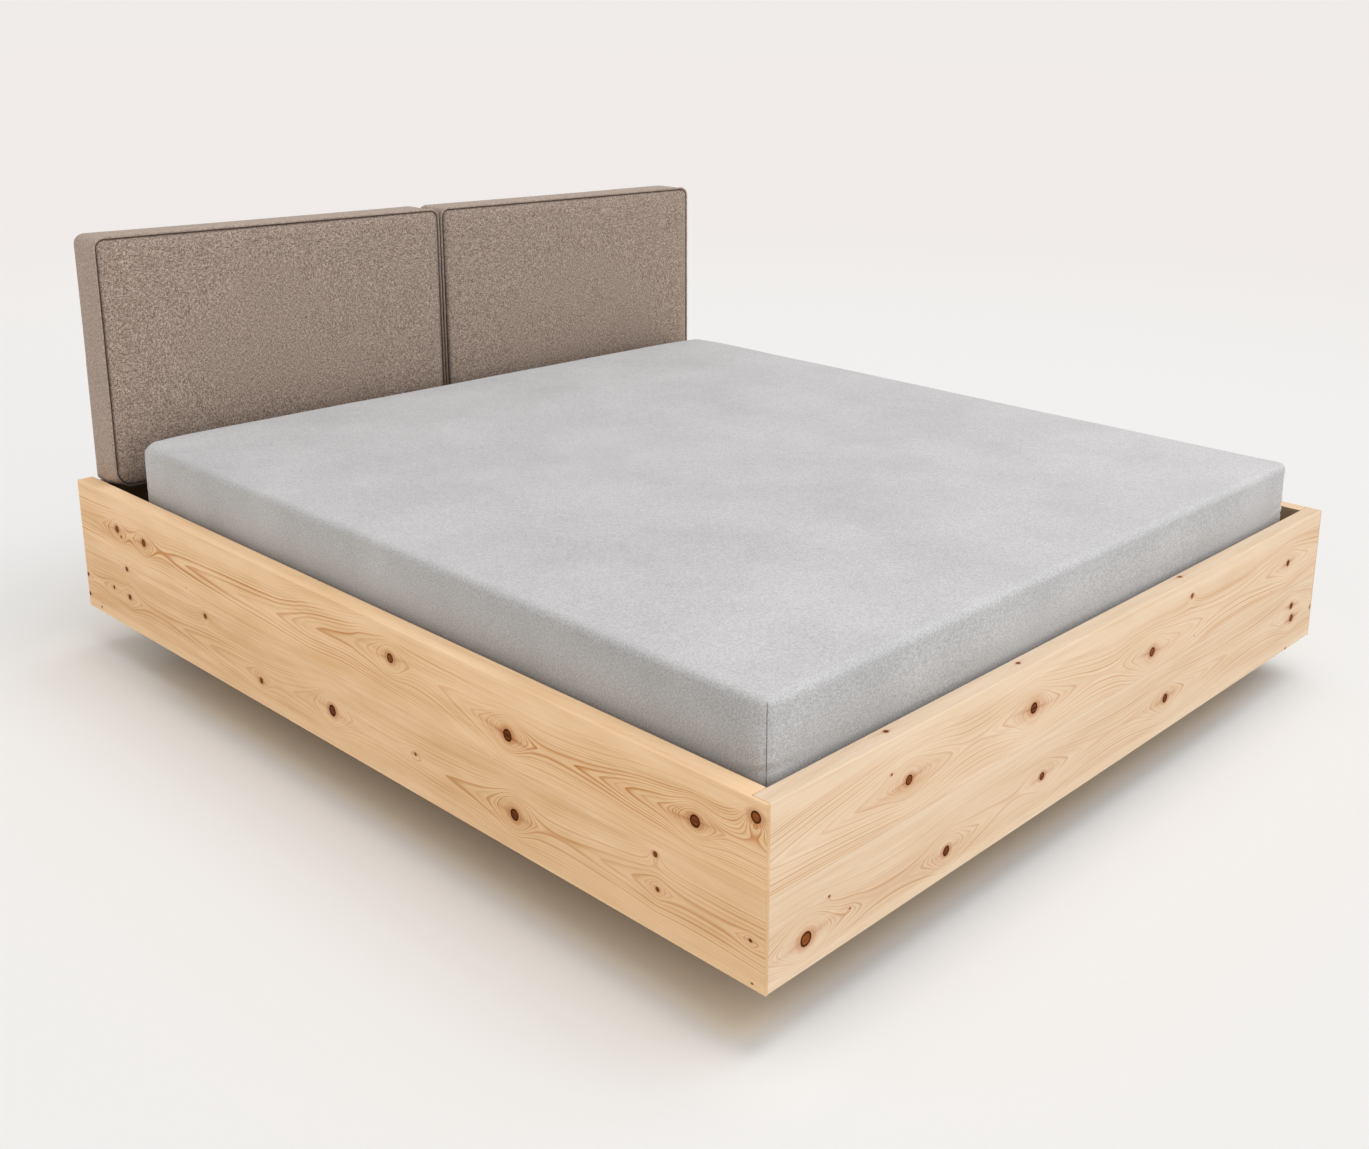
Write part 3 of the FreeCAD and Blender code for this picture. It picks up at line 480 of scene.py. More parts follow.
def plain_wood(name, axes, base, late, spacing=0.003, pitch=3.0):
    """Planed softwood with few knots for slats, battens and blocks; each pitch across has its own grain."""
    net = material(name, roughness=0.62, level=0.25)
    parts = net.split(net.place())
    along, across, through = (parts[a] for a in axes)
    lot = net.math("FLOOR", across / pitch)
    luck = net.chance(lot + 11.0)
    wander = net.noise(net.join(along * 1.3 + luck * 9.0, across * 4.0, through * 4.0), 1.0, 2.0) - 0.5
    deep = through * 0.8 + along * 0.02 + 0.04 + luck * 0.05
    rings = net.length(net.join(across + luck * 0.3 + wander * 0.03, deep))
    count = (rings + wander * 0.012) / spacing
    phase = net.math("FRACT", count)
    line = net.step(phase, 0.4, 0.88) * net.step(phase, 1.0, 0.93)
    line = line * net.chance(net.math("FLOOR", count) + 3.0)
    fibre = net.noise(net.join(along * 12.0, across * 500.0, through * 500.0), 1.0, 2.0, 0.6)
    colour = net.mix(line * 0.55, base, late)
    dots = net.cells(net.join(along * 2.6 + luck * 5.0, across * 9.0, through * 9.0), 1.0)
    colour = net.mix(net.step(dots, 0.09, 0.05) * 0.8, colour, tone(128, 78, 44))
    colour = net.bright(colour, (fibre - 0.5) * 0.08 + luck * 0.06 + 0.96)
    return finish(net, colour, net.bump(fibre, 0.00015, 0.5))


def layered_board(name):
    """Plywood: turned veneers show at the edges, a quiet face grain on the sides."""
    net = material(name, roughness=0.6, level=0.25)
    x, y, z = net.split(net.place())
    facing = abs(net.split(net.facing())[1])
    layer = net.math("FRACT", y / 0.0058)
    ply = net.noise(net.join(x * 90.0, y * 500.0, z * 90.0), 1.0, 2.0) * 0.4
    ply = net.step(layer, 0.44, 0.56) * 0.55 + ply
    face = net.noise(net.join(x * 3.0, y * 3.0, z * 60.0), 1.0, 3.0, 0.6, 0.6)
    share = net.mix(net.step(facing, 0.4, 0.7), net.join(ply), net.join(face))
    colour = net.mix(net.split(share)[0], tone(222, 190, 148), tone(170, 124, 80))
    return finish(net, colour, net.bump(face, 0.0002, 0.4))


def steel(name, colour, rough, scale):
    """Zinc-plated sheet or screws: faint cloudy crystals and a fine mottle."""
    net = material(name, roughness=rough, level=0.5, metal=1.0)
    spot = net.place()
    cloud = net.cells(spot, scale)
    fine = net.noise(spot, scale * 6.0, 3.0)
    shade = net.bright(colour[:3], cloud * 0.16 + fine * 0.12 + 0.84)
    return finish(net, shade, net.bump(fine, 0.00006, 0.5), cloud * 0.12 + (rough - 0.05))


def dowel_wood(name):
    net = material(name, roughness=0.6, level=0.25)
    fleck = net.noise(net.place(), 260.0, 2.0)
    colour = net.mix(net.step(fleck, 0.35, 0.75), tone(214, 172, 128), tone(176, 126, 84))
    return finish(net, colour, net.bump(fleck, 0.0001, 0.5))


def glide(name):
    net = material(name, roughness=0.5, level=0.4)
    grain = net.noise(net.place(), 900.0, 2.0)
    colour = net.mix(grain, tone(58, 56, 54), tone(78, 76, 73))
    return finish(net, colour, net.bump(grain, 0.0001, 0.6), grain * 0.12 + 0.44)


# Cloth
def jersey(name):
    """Fitted sheet: fine knitted cotton in a heathered grey."""
    net = material(name, roughness=0.86, level=0.12, sheen=0.12, sheen_rough=0.6)
    spot = net.place()
    x, y, z = net.split(spot)
    knit = net.noise(spot, 1500.0, 1.0, 0.5)
    heather = net.noise(net.vector("MULTIPLY", spot, (260.0, 260.0, 330.0)), 1.0, 3.0, 0.62)
    cloud = net.noise(spot, 4.2, 3.0, 0.55)
    rows = net.math("SINE", (x + y) * 4200.0)
    mottle = net.noise(spot, 38.0, 2.0, 0.6)
    upright = 1.0 - abs(net.split(net.facing())[2])
    colour = net.mix(net.step(heather, 0.30, 0.70), tone(190, 189, 190), tone(214, 213, 214))
    # Painted light: the upright sides are tinted a little cooler than the top, to offset the warm light on
    # them
    colour = net.mix(upright * 0.7, colour, tone(250, 253, 255), "MULTIPLY")
    # Painted light and shade on the sides: lighter just above the boards, less so down in the slot beside
    # them, and darker towards the foot end and on the left
    painted_side_shading = net.step(z, 0.4105, 0.4065, 0.0, 0.20) - net.step(z, 0.444, 0.411, 0.0, 0.20)
    painted_side_shading = painted_side_shading - net.step(z, 0.424, 0.411, 0.0, 0.05)
    painted_side_shading = upright * (painted_side_shading - net.step(y, -1.1, 0.9, -0.05, 0.055) - net.step(x, -0.9, 0.2, -0.012, 0.025))
    # Painted light on the top: lighter towards the foot end and the right
    across = net.step(x, -0.9, 0.9, -0.03, 0.025) + net.step(y, 0.95, -0.4, -0.035, 0.016)
    across = (1.0 - upright) * (across + net.step(y, -0.3, -0.95, 0.0, 0.07))
    # Painted shade: darker higher up the sides, less on the foot end
    painted_upper_side_shade = upright * net.step(z, 0.42, 0.53, 0.0, 0.085) * net.step(y, -1.06, -1.0, 0.35, 1.0)
    fleck = (heather - 0.5) * upright * 0.35 + (knit - 0.5) * 0.16 + (mottle - 0.5) * 0.09
    # The painted shade attribute darkens the corner creases
    shift = (cloud - 0.5) * 0.34 + fleck - painted_upper_side_shade - painted_side_shading + across - net.marked("painted_shade") * 0.42
    colour = net.bright(colour, shift + 1.0)
    height = knit * 0.5 + heather * 0.4 + rows * 0.08
    return finish(net, colour, net.bump(height, 0.00045, 0.6))


def ticking(name):
    """Mattress cover: woven stripes with a quilted relief."""
    net = material(name, roughness=0.85, level=0.12, sheen=0.1, sheen_rough=0.5)
    x, y, z = net.split(net.place())
    stripe = net.step(net.math("SINE", x * 420.0), 0.55, 0.8)
    quilt = abs(net.math("SINE", (x + y) * 38.0)) * abs(net.math("SINE", (x - y) * 38.0))
    weave = net.math("SINE", x * 3600.0) * net.math("SINE", y * 3600.0 + z * 3600.0)
    colour = net.mix(stripe * 0.35, tone(232, 230, 226), tone(196, 200, 206))
    colour = net.bright(colour, weave * 0.03 + net.step(quilt, 0.0, 0.2, 0.94, 1.0))
    return finish(net, colour, net.bump(net.math("POWER", quilt, 0.35) + weave * 0.01, 0.004, 0.7))


def upholstery(name):
    """Cushion cover: short crossing yarns in light and dark taupe."""
    net = material(name, roughness=0.84, level=0.14, sheen=0.16, sheen_rough=0.45)
    spot = net.place()
    x, y, z = net.split(spot)
    sway = net.noise(spot, 55.0, 1.0) * 0.006
    rise = net.noise(net.join((x + sway) * 560.0, y * 560.0, z * 170.0), 1.0, 2.0, 0.6)
    run = net.noise(net.join(x * 170.0 + 7.0, y * 260.0, (z + sway) * 560.0), 1.0, 2.0, 0.6)
    plain = net.marked("border")
    light = net.step(net.most(rise, run), 0.52, 0.72) * (1.0 - plain * 0.30)
    dark = net.step(net.math("MINIMUM", rise, run), 0.50, 0.34) * (1.0 - plain * 0.45)
    fine = net.noise(spot, 1300.0, 2.0, 0.6)
    cloud = net.noise(spot, 9.0, 2.0)
    colour = net.mix(light * 0.86, tone(172, 154, 141), tone(220, 204, 190))
    colour = net.mix(dark * 0.86, colour, tone(110, 90, 78))
    # Painted shade: darker on the cushions' sides by the gap between them, more so lower down; the painted
    # shade attribute darkens the seams, the underside and the low front
    gap = net.step(abs(x), 0.024, 0.007) * net.step(z, 1.0, 0.55, 0.22, 0.58)
    colour = net.bright(colour, (fine - 0.5) * 0.30 + (cloud - 0.5) * 0.07 + plain * 0.11 + 1.0 - gap)
    colour = net.mix(net.marked("painted_shade") * 0.86, colour, tone(50, 35, 28))
    height = rise * 0.5 + run * 0.5 + fine * 0.5
    return finish(net, colour, net.bump(height, 0.0012, 0.7))


def lining_cloth(name):
    net = material(name, roughness=0.9, level=0.1)
    x, _, z = net.split(net.place())
    weave = net.math("SINE", x * 3000.0) * net.math("SINE", z * 3000.0)
    cloud = net.noise(net.place(), 30.0, 3.0)
    colour = net.mix(cloud, tone(74, 70, 67), tone(92, 88, 84))
    # Painted shade along the stitched groove
    colour = net.bright(colour, weave * 0.12 + 1.0 - net.marked("painted_shade") * 0.4)
    return finish(net, colour, net.bump(weave * 0.5 + cloud, 0.0006, 0.6))


def tape(name):
    net = material(name, roughness=0.8, level=0.15)
    x, y, _ = net.split(net.place())
    ribs = net.math("SINE", y * 2100.0 + abs(net.math("SINE", x * 900.0)) * 2.0)
    fine = net.noise(net.place(), 700.0, 2.0)
    colour = net.bright(net.mix(fine, tone(206, 200, 188), tone(226, 220, 208)), ribs * 0.07 + 0.98)
    return finish(net, colour, net.bump(ribs, 0.0005, 0.7))


# Mesh helpers
def make(name, points, faces, cloth, painted_shade=None, border=None):
    """A smooth mesh with how much painted shade and how much of the border lies at each point."""
    mesh = bpy.data.meshes.new(name)
    mesh.from_pydata([tuple(p) for p in points], [], faces)
    mesh.update()
    mesh.polygons.foreach_set("use_smooth", [True] * len(mesh.polygons))
    for mark, values in (("painted_shade", painted_shade), ("border", border)):
        if values is not None:
            layer = mesh.attributes.new(mark, "FLOAT", "POINT")
            layer.data.foreach_set("value", np.asarray(values, np.float32))
    mesh.materials.append(cloth)
    return add_object(name, mesh)


def lines(low, high, near, count):
    """Places from low to high: the given distances from both ends, and even steps between."""
    near = np.array(near)
    middle = np.linspace(low + near[-1], high - near[-1], count + 1)[1:-1]
    return np.concatenate([low + near, middle, (high - near)[::-1]])


def lattice(xs, ys, zs):
    """The outside of a box cut at the given places: points and four-sided faces that look outward."""
    index, points, faces = {}, [], []

    def at(i, j, k):
        key = (i, j, k)
        if key not in index:
            index[key] = len(points)
            points.append((xs[i], ys[j], zs[k]))
        return index[key]

    nx, ny, nz = len(xs) - 1, len(ys) - 1, len(zs) - 1
    for i in range(nx):
        for j in range(ny):
            faces.append((at(i, j, nz), at(i + 1, j, nz), at(i + 1, j + 1, nz), at(i, j + 1, nz)))
            faces.append((at(i, j, 0), at(i, j + 1, 0), at(i + 1, j + 1, 0), at(i + 1, j, 0)))
        for k in range(nz):
            faces.append((at(i, 0, k), at(i + 1, 0, k), at(i + 1, 0, k + 1), at(i, 0, k + 1)))
            faces.append((at(i, ny, k), at(i, ny, k + 1), at(i + 1, ny, k + 1), at(i + 1, ny, k)))
    for j in range(ny):
        for k in range(nz):
            faces.append((at(0, j, k), at(0, j, k + 1), at(0, j + 1, k + 1), at(0, j + 1, k)))
            faces.append((at(nx, j, k), at(nx, j + 1, k), at(nx, j + 1, k + 1), at(nx, j, k + 1)))
    return np.array(points), faces


def turned(flat, low, high, corner):
    """Rounds a rectangle's corners: the core place, the way out of it and the distance, for each place."""
    core = np.clip(flat, low + corner, high - corner)
    off = flat - core
    reach = np.abs(off).max(1)
    way = off / np.maximum(np.hypot(off[:, 0], off[:, 1]), 1e-9)[:, None]
    return core, way, reach


def rolled(inset, depth, radius):
    """Rounds an edge: inset is the distance in from the outline, depth the distance from the end face."""
    near = (inset < radius) & (depth < radius)
    a, b = np.where(near, radius - inset, 0), np.where(near, radius - depth, 0)
    scale = np.maximum(a, b) / np.maximum(np.hypot(a, b), 1e-9)
    return np.where(near, radius - a * scale, inset), np.where(near, radius - b * scale, depth)


def bell(values, middle, width):
    """1 at the middle, falling off to both sides."""
    return np.exp(-(((values - middle) / width) ** 2))


def rough_field(points, scale, seed):
    """Smooth random values from -1 to 1 over the points."""
    shift = Vector((seed * 7.3, seed * 3.1, seed * 5.7))
    return np.array([noise.noise(Vector(p) * scale + shift) for p in points])


# Distances from an edge at which the slabs are cut, and the sheet's hem under the mattress
NEAR_EDGE = (0, 0.0012, 0.003, 0.006, 0.010, 0.014, 0.019, 0.025, 0.034, 0.05, 0.07)
TUCK = 0.05


def pillow(low, high, corner, top_round, low_round, counts, tuck=None):
    """A rounded slab with soft edges, for the mattress and the sheet, which is open within its tuck."""
    xs, ys, zs = (lines(low[a], high[a], NEAR_EDGE, counts[a]) for a in range(3))
    points, faces = lattice(xs, ys, zs)
    if tuck is not None:
        flat_low, flat_high = low[:2] + tuck, high[:2] - tuck
        inner = ((points[:, :2] > flat_low) & (points[:, :2] < flat_high)).all(1)
        inner &= points[:, 2] <= low[2] + 1e-9
        faces = [f for f in faces if not any(inner[v] for v in f)]
    # The corners at the head end are pulled rounder
    across = np.minimum(points[:, 0] - low[0], high[0] - points[:, 0])
    slack = np.exp(-((across ** 2 + (high[1] - points[:, 1]) ** 2) / 0.0075))
    corner = corner + 0.016 * slack
    core, way, reach = turned(points[:, :2], low[:2], high[:2], corner[:, None])
    inset, above = rolled(corner - reach, high[2] - points[:, 2], top_round + 0.018 * slack)
    inset, below = rolled(inset, points[:, 2] - low[2], low_round)
    z = np.where(points[:, 2] > (low[2] + high[2]) / 2, high[2] - above, low[2] + below)
    flat = core + way * (corner - inset)[:, None]
    return np.column_stack([flat, z]), faces, way


def remove_loose(made):
    work = bmesh.new()
    work.from_mesh(made.data)
    bmesh.ops.delete(work, geom=[v for v in work.verts if not v.link_faces], context="VERTS")
    work.to_mesh(made.data)
    work.free()


def thicken(made, thickness):
    """Gives a cloth its thickness, inward from the drawn side."""
    skin = made.modifiers.new("thickness", "SOLIDIFY")
    skin.thickness = thickness
    skin.offset = -1
    mesh = bpy.data.meshes.new_from_object(made.evaluated_get(bpy.context.evaluated_depsgraph_get()))
    made.modifiers.clear()
    made.data = mesh


def net_faces(columns, rows):
    """Four-sided faces over a grid of points that is listed column by column."""
    return [(i * rows + j, i * rows + j + 1, (i + 1) * rows + j + 1, (i + 1) * rows + j)
            for i in range(columns - 1) for j in range(rows - 1)]


def make_sheet(cloth):
    """Fitted sheet: drawn over the mattress, tucked 50 mm under it, with a seam down each corner."""
    low, high = np.array(SHEET_LOW), np.array(SHEET_HIGH)
    points, faces, way = pillow(low, high, 0.025, 0.018, 0.016, (64, 70, 10), TUCK)
    centre = (low + high) / 2
    side = np.clip((high[2] - 0.004 - points[:, 2]) / 0.03, 0, 1)
    side *= np.clip((points[:, 2] - low[2]) / 0.02, 0, 1)
    level = (points[:, 2] - low[2]) / (high[2] - low[2])
    # Broad softness of the sides and a barely uneven top
    swell = rough_field(points, 3.1, 1) * 0.0022 + rough_field(points, 9.0, 2) * 0.0009
    belly = np.sin(np.clip(level, 0, 1) * math.pi) * 0.0015
    points[:, :2] += way * ((swell - 0.0034 + belly) * side)[:, None]
    sink = 0.0016 + 0.0016 * np.abs(rough_field(points, 2.2, 3))
    sink += 0.0008 * np.abs(rough_field(points, 8.0, 4))
    points[:, 2] -= np.where(level > 0.9, sink, 0)
    # The edge along the top is not ruled: it waves a little
    edge = np.clip((level - 0.8) / 0.2, 0, 1) * side
    points[:, :2] += way * (rough_field(points, 6.0, 5) * 0.0012 * edge)[:, None]
    # Creases near the lower corners, where the cloth is pulled under
    painted_shade_amount = np.zeros(len(points))
    for sx in (-1, 1):
        for sy in (-1, 1):
            corner = np.array([centre[0] + sx * 0.9, centre[1] + sy * 1.0])
            away = np.hypot(points[:, 0] - corner[0], points[:, 1] - corner[1])
            fade = np.exp(-away / 0.07) * bell(level, 0.40, 0.17) * (1.0 if sy < 0 else 0.3)
            ripple = np.sin(level * 55 + away * 70 + rough_field(points, 14.0, 6) * 3)
            points[:, :2] += way * (ripple * fade * 0.0020 * side)[:, None]
            turn = np.abs(np.abs(way[:, 0]) - np.abs(way[:, 1]))
            here = (np.sign(points[:, 0] - centre[0]) == sx) & (np.sign(points[:, 1] - centre[1]) == sy)
            here &= np.abs(way).min(1) > 0.2
            below_top = np.clip((0.97 - level) / 0.04, 0, 1)
            groove = np.where(here, bell(turn, 0, 0.030), 0) * below_top
            lip = np.where(here, bell(turn, 0.10, 0.06), 0) * below_top
            points[:, :2] += way * (lip * 0.0007 - groove * 0.0022)[:, None]
            pinch = np.where(here, bell(turn, 0, 0.07), 0) * bell(level, 0.950, 0.014)
            # Painted shade in each corner's groove and pinch
            painted_shade_amount = np.maximum(painted_shade_amount, np.maximum(groove, pinch * 1.3))
    made = make("fitted_sheet_cloth", points, faces, cloth, painted_shade_amount)
    remove_loose(made)
    thicken(made, 0.001)
    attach(made, "mattress_set")
    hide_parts("fitted_sheet")


def make_mattress(cloth):
    """The mattress, a little smaller than the sheet on every side."""
    low = np.array(SHEET_LOW) + (0.0045, 0.0045, 0.0022)
    high = np.array(SHEET_HIGH) - (0.0045, 0.0045, 0.0050)
    points, faces, _ = pillow(low, high, 0.022, 0.016, 0.014, (40, 44, 5))
    made = make("mattress_pad", points, faces, cloth)
    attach(made, "mattress_set")
    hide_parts("mattress")


# A headboard cushion, in metres
SEAM_PLACE = 1.016
PAD_BACK = 1.129
PAD_LOW, PAD_HIGH = 0.4126, 1.0060
PAD_OUT, PAD_MIDDLE = 0.928, 0.0035
PAD_CORNER = 0.026
PAD_LOW_CORNER = 0.040
PAD_BACK_ROUND = 0.014
NEAR_PAD = (0, 0.0012, 0.0025, 0.004, 0.006, 0.009, 0.013, 0.018, 0.0235, 0.026, 0.032, 0.042)


def make_pad(name, low_x, high_x, body, cloth, seed):
    """One headboard cushion: a boxed cover over firm foam, crowned at the front, with a piped front seam."""
    low, high = np.array((low_x, PAD_LOW)), np.array((high_x, PAD_HIGH))
    xs = lines(low_x, high_x, NEAR_PAD, 90)
    zs = lines(PAD_LOW, PAD_HIGH, NEAR_PAD, 56)
    near_seam = SEAM_PLACE + np.array((0, 0.0012, 0.0025, 0.004, 0.007, 0.012))
    ys = np.concatenate([near_seam, np.linspace(1.036, 1.104, 8), (1.112, 1.118, 1.123, 1.127, PAD_BACK)])
    points, faces = lattice(xs, ys, zs)
    front = points[:, 1] <= SEAM_PLACE + 1e-9
    depth = np.clip((points[:, 1] - SEAM_PLACE) / (PAD_BACK - SEAM_PLACE), 0, 1)
    wide = (points[:, 0] - low_x) / (high_x - low_x)
    tall = (points[:, 2] - PAD_LOW) / (PAD_HIGH - PAD_LOW)
    # The low corners are rounder at the seam than behind it
    corner = np.where(tall < 0.5, PAD_LOW_CORNER - 0.028 * np.clip(depth / 0.45, 0, 1), PAD_CORNER)
    core, way, reach = turned(points[:, (0, 2)], low, high, corner[:, None])
    inset, behind = rolled(corner - reach, PAD_BACK - points[:, 1], np.minimum(corner, PAD_BACK_ROUND))
    place = np.where(front, points[:, 1], PAD_BACK - behind)
    inset = np.where(front, corner - reach, inset)
    # The cover pulls in a little between its corners and swells between its seams
    arch_up, arch_across = np.sin(np.clip(tall, 0, 1) * math.pi), np.sin(np.clip(wide, 0, 1) * math.pi)
    along = np.abs(way[:, 0]) * arch_up + np.abs(way[:, 1]) * arch_across
    rim = np.clip(reach / corner, 0, 1)
    shift = along * 0.0008 + rim * np.sin(depth * math.pi) * -0.0012 + 0.0012 * rim
    shift += rim * (rough_field(points, 7.0, seed) * 0.0010 + 0.0010) * np.sin(depth * math.pi)
    # Small puckers either side of the seam
    pucker = rough_field(points, 46.0, seed + 3)
    shift += rim * np.exp(-depth / 0.08) * pucker * 0.0007
    # The strip dips towards the piping
    shift += rim * bell(depth, 0, 0.03) * 0.0024 * (~front)
    flat = core + way * (corner - inset - shift)[:, None]
    gap_x = np.minimum(points[:, 0] - low_x, high_x - points[:, 0])
    gap_z = np.minimum(points[:, 2] - PAD_LOW, PAD_HIGH - points[:, 2])
    rise = (1 - np.exp(-gap_x / 0.018)) * (1 - np.exp(-gap_z / 0.018)) * 0.0105
    rise += arch_across * arch_up * 0.0022
    inward = np.where(reach > 0, corner - reach, corner)
    rise *= 1 - np.exp(-inward / 0.004)
    rise += rough_field(points, 5.0, seed + 6) * 0.0012 * np.clip(rise / 0.01, 0, 1)
    rise += pucker * 0.0010 * np.exp(-np.minimum(gap_x, gap_z) / 0.012) * np.clip(inward / 0.004, 0, 1)
    rise -= 0.0026 * bell(inward, 0.0020, 0.0026)
    place = np.where(front, SEAM_PLACE - rise, place)
    # Painted shade: darker in the seam, under the cushion and low on its front
    behind_seam = bell(depth * (PAD_BACK - SEAM_PLACE), 0, 0.0045) * 0.42 * (rim > 0.9)
    painted_shade_amount = np.where(front, bell(inward, 0.0040, 0.0026), behind_seam)
    painted_shade_amount = np.maximum(painted_shade_amount, np.clip((PAD_LOW + 0.016 - flat[:, 1]) / 0.012, 0, 1) * 0.55)
    painted_shade_amount = np.maximum(painted_shade_amount, np.where(front, 0.34 * np.exp(-(flat[:, 1] - PAD_LOW) / 0.05), 0))
    points = np.column_stack([flat[:, 0], place, flat[:, 1]])
    made = make(name, points, faces, cloth, painted_shade_amount, np.where(front, 0, 1))
    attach(made, body)
    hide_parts(name.replace("_pad", "_cushion"))


def outline(low, high, top_corner, low_corner, steps):
    """Places round a rectangle with rounded corners, evenly enough spaced, and the way out at each."""
    spots, ways, corners = [], [], []
    for x, z, size in ((1, 1, top_corner), (-1, 1, top_corner), (-1, -1, low_corner), (1, -1, low_corner)):
        place = np.array((high[0] if x > 0 else low[0], high[1] if z > 0 else low[1]))
        corners.append((place - np.array((x, z)) * size, size))
    for n, (mid, corner) in enumerate(corners):
        for a in np.radians(np.linspace(90 * n, 90 * n + 90, 13)):
            way = np.array((math.cos(a), math.sin(a)))
            spots.append(mid + way * corner)
            ways.append(way)
        after_mid, after_corner = corners[(n + 1) % 4]
        way = ways[-1]
        begin, end = spots[-1], after_mid + way * after_corner
        for share in np.linspace(0, 1, steps + 1)[1:-1]:
            spots.append(begin + (end - begin) * share)
            ways.append(way)
    return np.array(spots), np.array(ways)


def make_welt(name, low_x, high_x, body, cloth, seed):
    """Piping: a covered cord that stands out of the front seam, not quite even."""
    inner = 0.0010
    low, high = np.array((low_x + inner, PAD_LOW + inner)), np.array((high_x - inner, PAD_HIGH - inner))
    spots, ways = outline(low, high, PAD_CORNER - inner, PAD_LOW_CORNER - inner, 110)
    centre = np.column_stack([spots[:, 0], np.full(len(spots), SEAM_PLACE), spots[:, 1]])
    jog = rough_field(centre, 30.0, seed) * 0.0004
    rise = rough_field(centre, 24.0, seed + 1) * 0.0006
    thick = 0.0030 + rough_field(centre, 70.0, seed + 2) * 0.00015
    ring = 12
    points, faces = [], []
    for c, w, j, r, t in zip(centre, ways, jog, rise, thick):
        out = np.array((w[0], 0, w[1]))
        for a in np.linspace(0, 2 * math.pi, ring, endpoint=False):
            points.append(c + out * (j + t * math.cos(a)) + np.array((0, -1, 0)) * (r + t * math.sin(a)))
    count = len(centre)
    for n in range(count):
        for a in range(ring):
            b = (a + 1) % ring
            m = (n + 1) % count
            faces.append((n * ring + a, m * ring + a, m * ring + b, n * ring + b))
    # Painted shade on the piping's low run
    painted_shade_amount = np.clip((PAD_LOW + 0.030 - np.array(points)[:, 2]) / 0.022, 0, 1)
    made = make(name, points, faces, cloth, painted_shade_amount, np.ones(len(points)))
    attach(made, body)
    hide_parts(name.replace("_welt", "_piping"))


LINING_LOW, LINING_HIGH = 0.4103, 0.9880
LINING_INSET = 0.018
LINING_BACK = 1.1300


def make_lining(name, low_x, high_x, body, cloth, seed):
    """Backing cloth, drawn flat over the board and stitched round its edge."""
    low, high = (low_x, LINING_LOW), (high_x, LINING_HIGH)
    near_stitch = (0, 0.002, 0.005, 0.008, 0.014)
    xs, zs = lines(low[0], high[0], near_stitch, 40), lines(low[1], high[1], near_stitch, 26)
    grid = np.array([(x, z) for x in xs for z in zs])
    gap = np.minimum(grid - low, high - grid).min(1)
    points = np.column_stack([grid[:, 0], np.full(len(grid), LINING_BACK), grid[:, 1]])
    ripple = rough_field(points, 26.0, seed) * np.exp(-gap / 0.03)
    points[:, 1] += 0.0006 * ripple - 0.0005 * bell(gap, 0.006, 0.0025) - 0.0002
    faces = net_faces(len(xs), len(zs))
    # Painted shade along the stitched groove
    painted_shade_amount = bell(gap, 0.006, 0.0015)
    made = make(name, points, faces, cloth, painted_shade_amount)
    thicken(made, 0.0006)
    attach(made, body)
    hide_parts(name.replace("_cloth", ""))
    high[0] - low[0]
    high[1] - low[1]


STRAP_WIDTH = 0.025
STRAP_MIDDLE = 0.466


def make_strap(name, middle_x, cloth):
    """Woven tape under the slats that sags a little from one to the next."""
    boxes = [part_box(slat) for slat in SLATS]
    ys, zs = [], []
    for n, (low, high) in enumerate(boxes):
        for share in (0, 0.5, 1):
            ys.append(low.y + (high.y - low.y) * share)
            zs.append(low.z - 0.0002)
        if n < len(boxes) - 1:
            after = boxes[n + 1][0].y
            for share in (0.2, 0.4, 0.6, 0.8):
                ys.append(high.y + (after - high.y) * share)
                zs.append(low.z - 0.0002 - 0.0011 * math.sin(math.pi * share))
    xs = middle_x + np.linspace(-STRAP_WIDTH / 2, STRAP_WIDTH / 2, 9)
    ribs = [0.0002 * math.cos(9 * 2 * math.pi * (x - middle_x) / STRAP_WIDTH) for x in xs]
    points = [(x, y, z - rib) for y, z in zip(ys, zs) for x, rib in zip(xs, ribs)]
    made = make(name, points, net_faces(len(ys), len(xs)), cloth)
    thicken(made, 0.0009)
    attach(made, "frame")
    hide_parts(name.replace("_tape", "_strap"))


# Floor and light
def make_lamp(name, energy, spread, source, colour):
    """Even light from one direction, softened over the spread in degrees."""
    data = bpy.data.lights.new(name, "SUN")
    data.energy = energy
    data.color = colour
    data.angle = math.radians(spread)
    lamp = add_object(name, data)
    lamp.rotation_mode = "QUATERNION"
    lamp.rotation_quaternion = Vector(source).to_track_quat("Z", "Y")


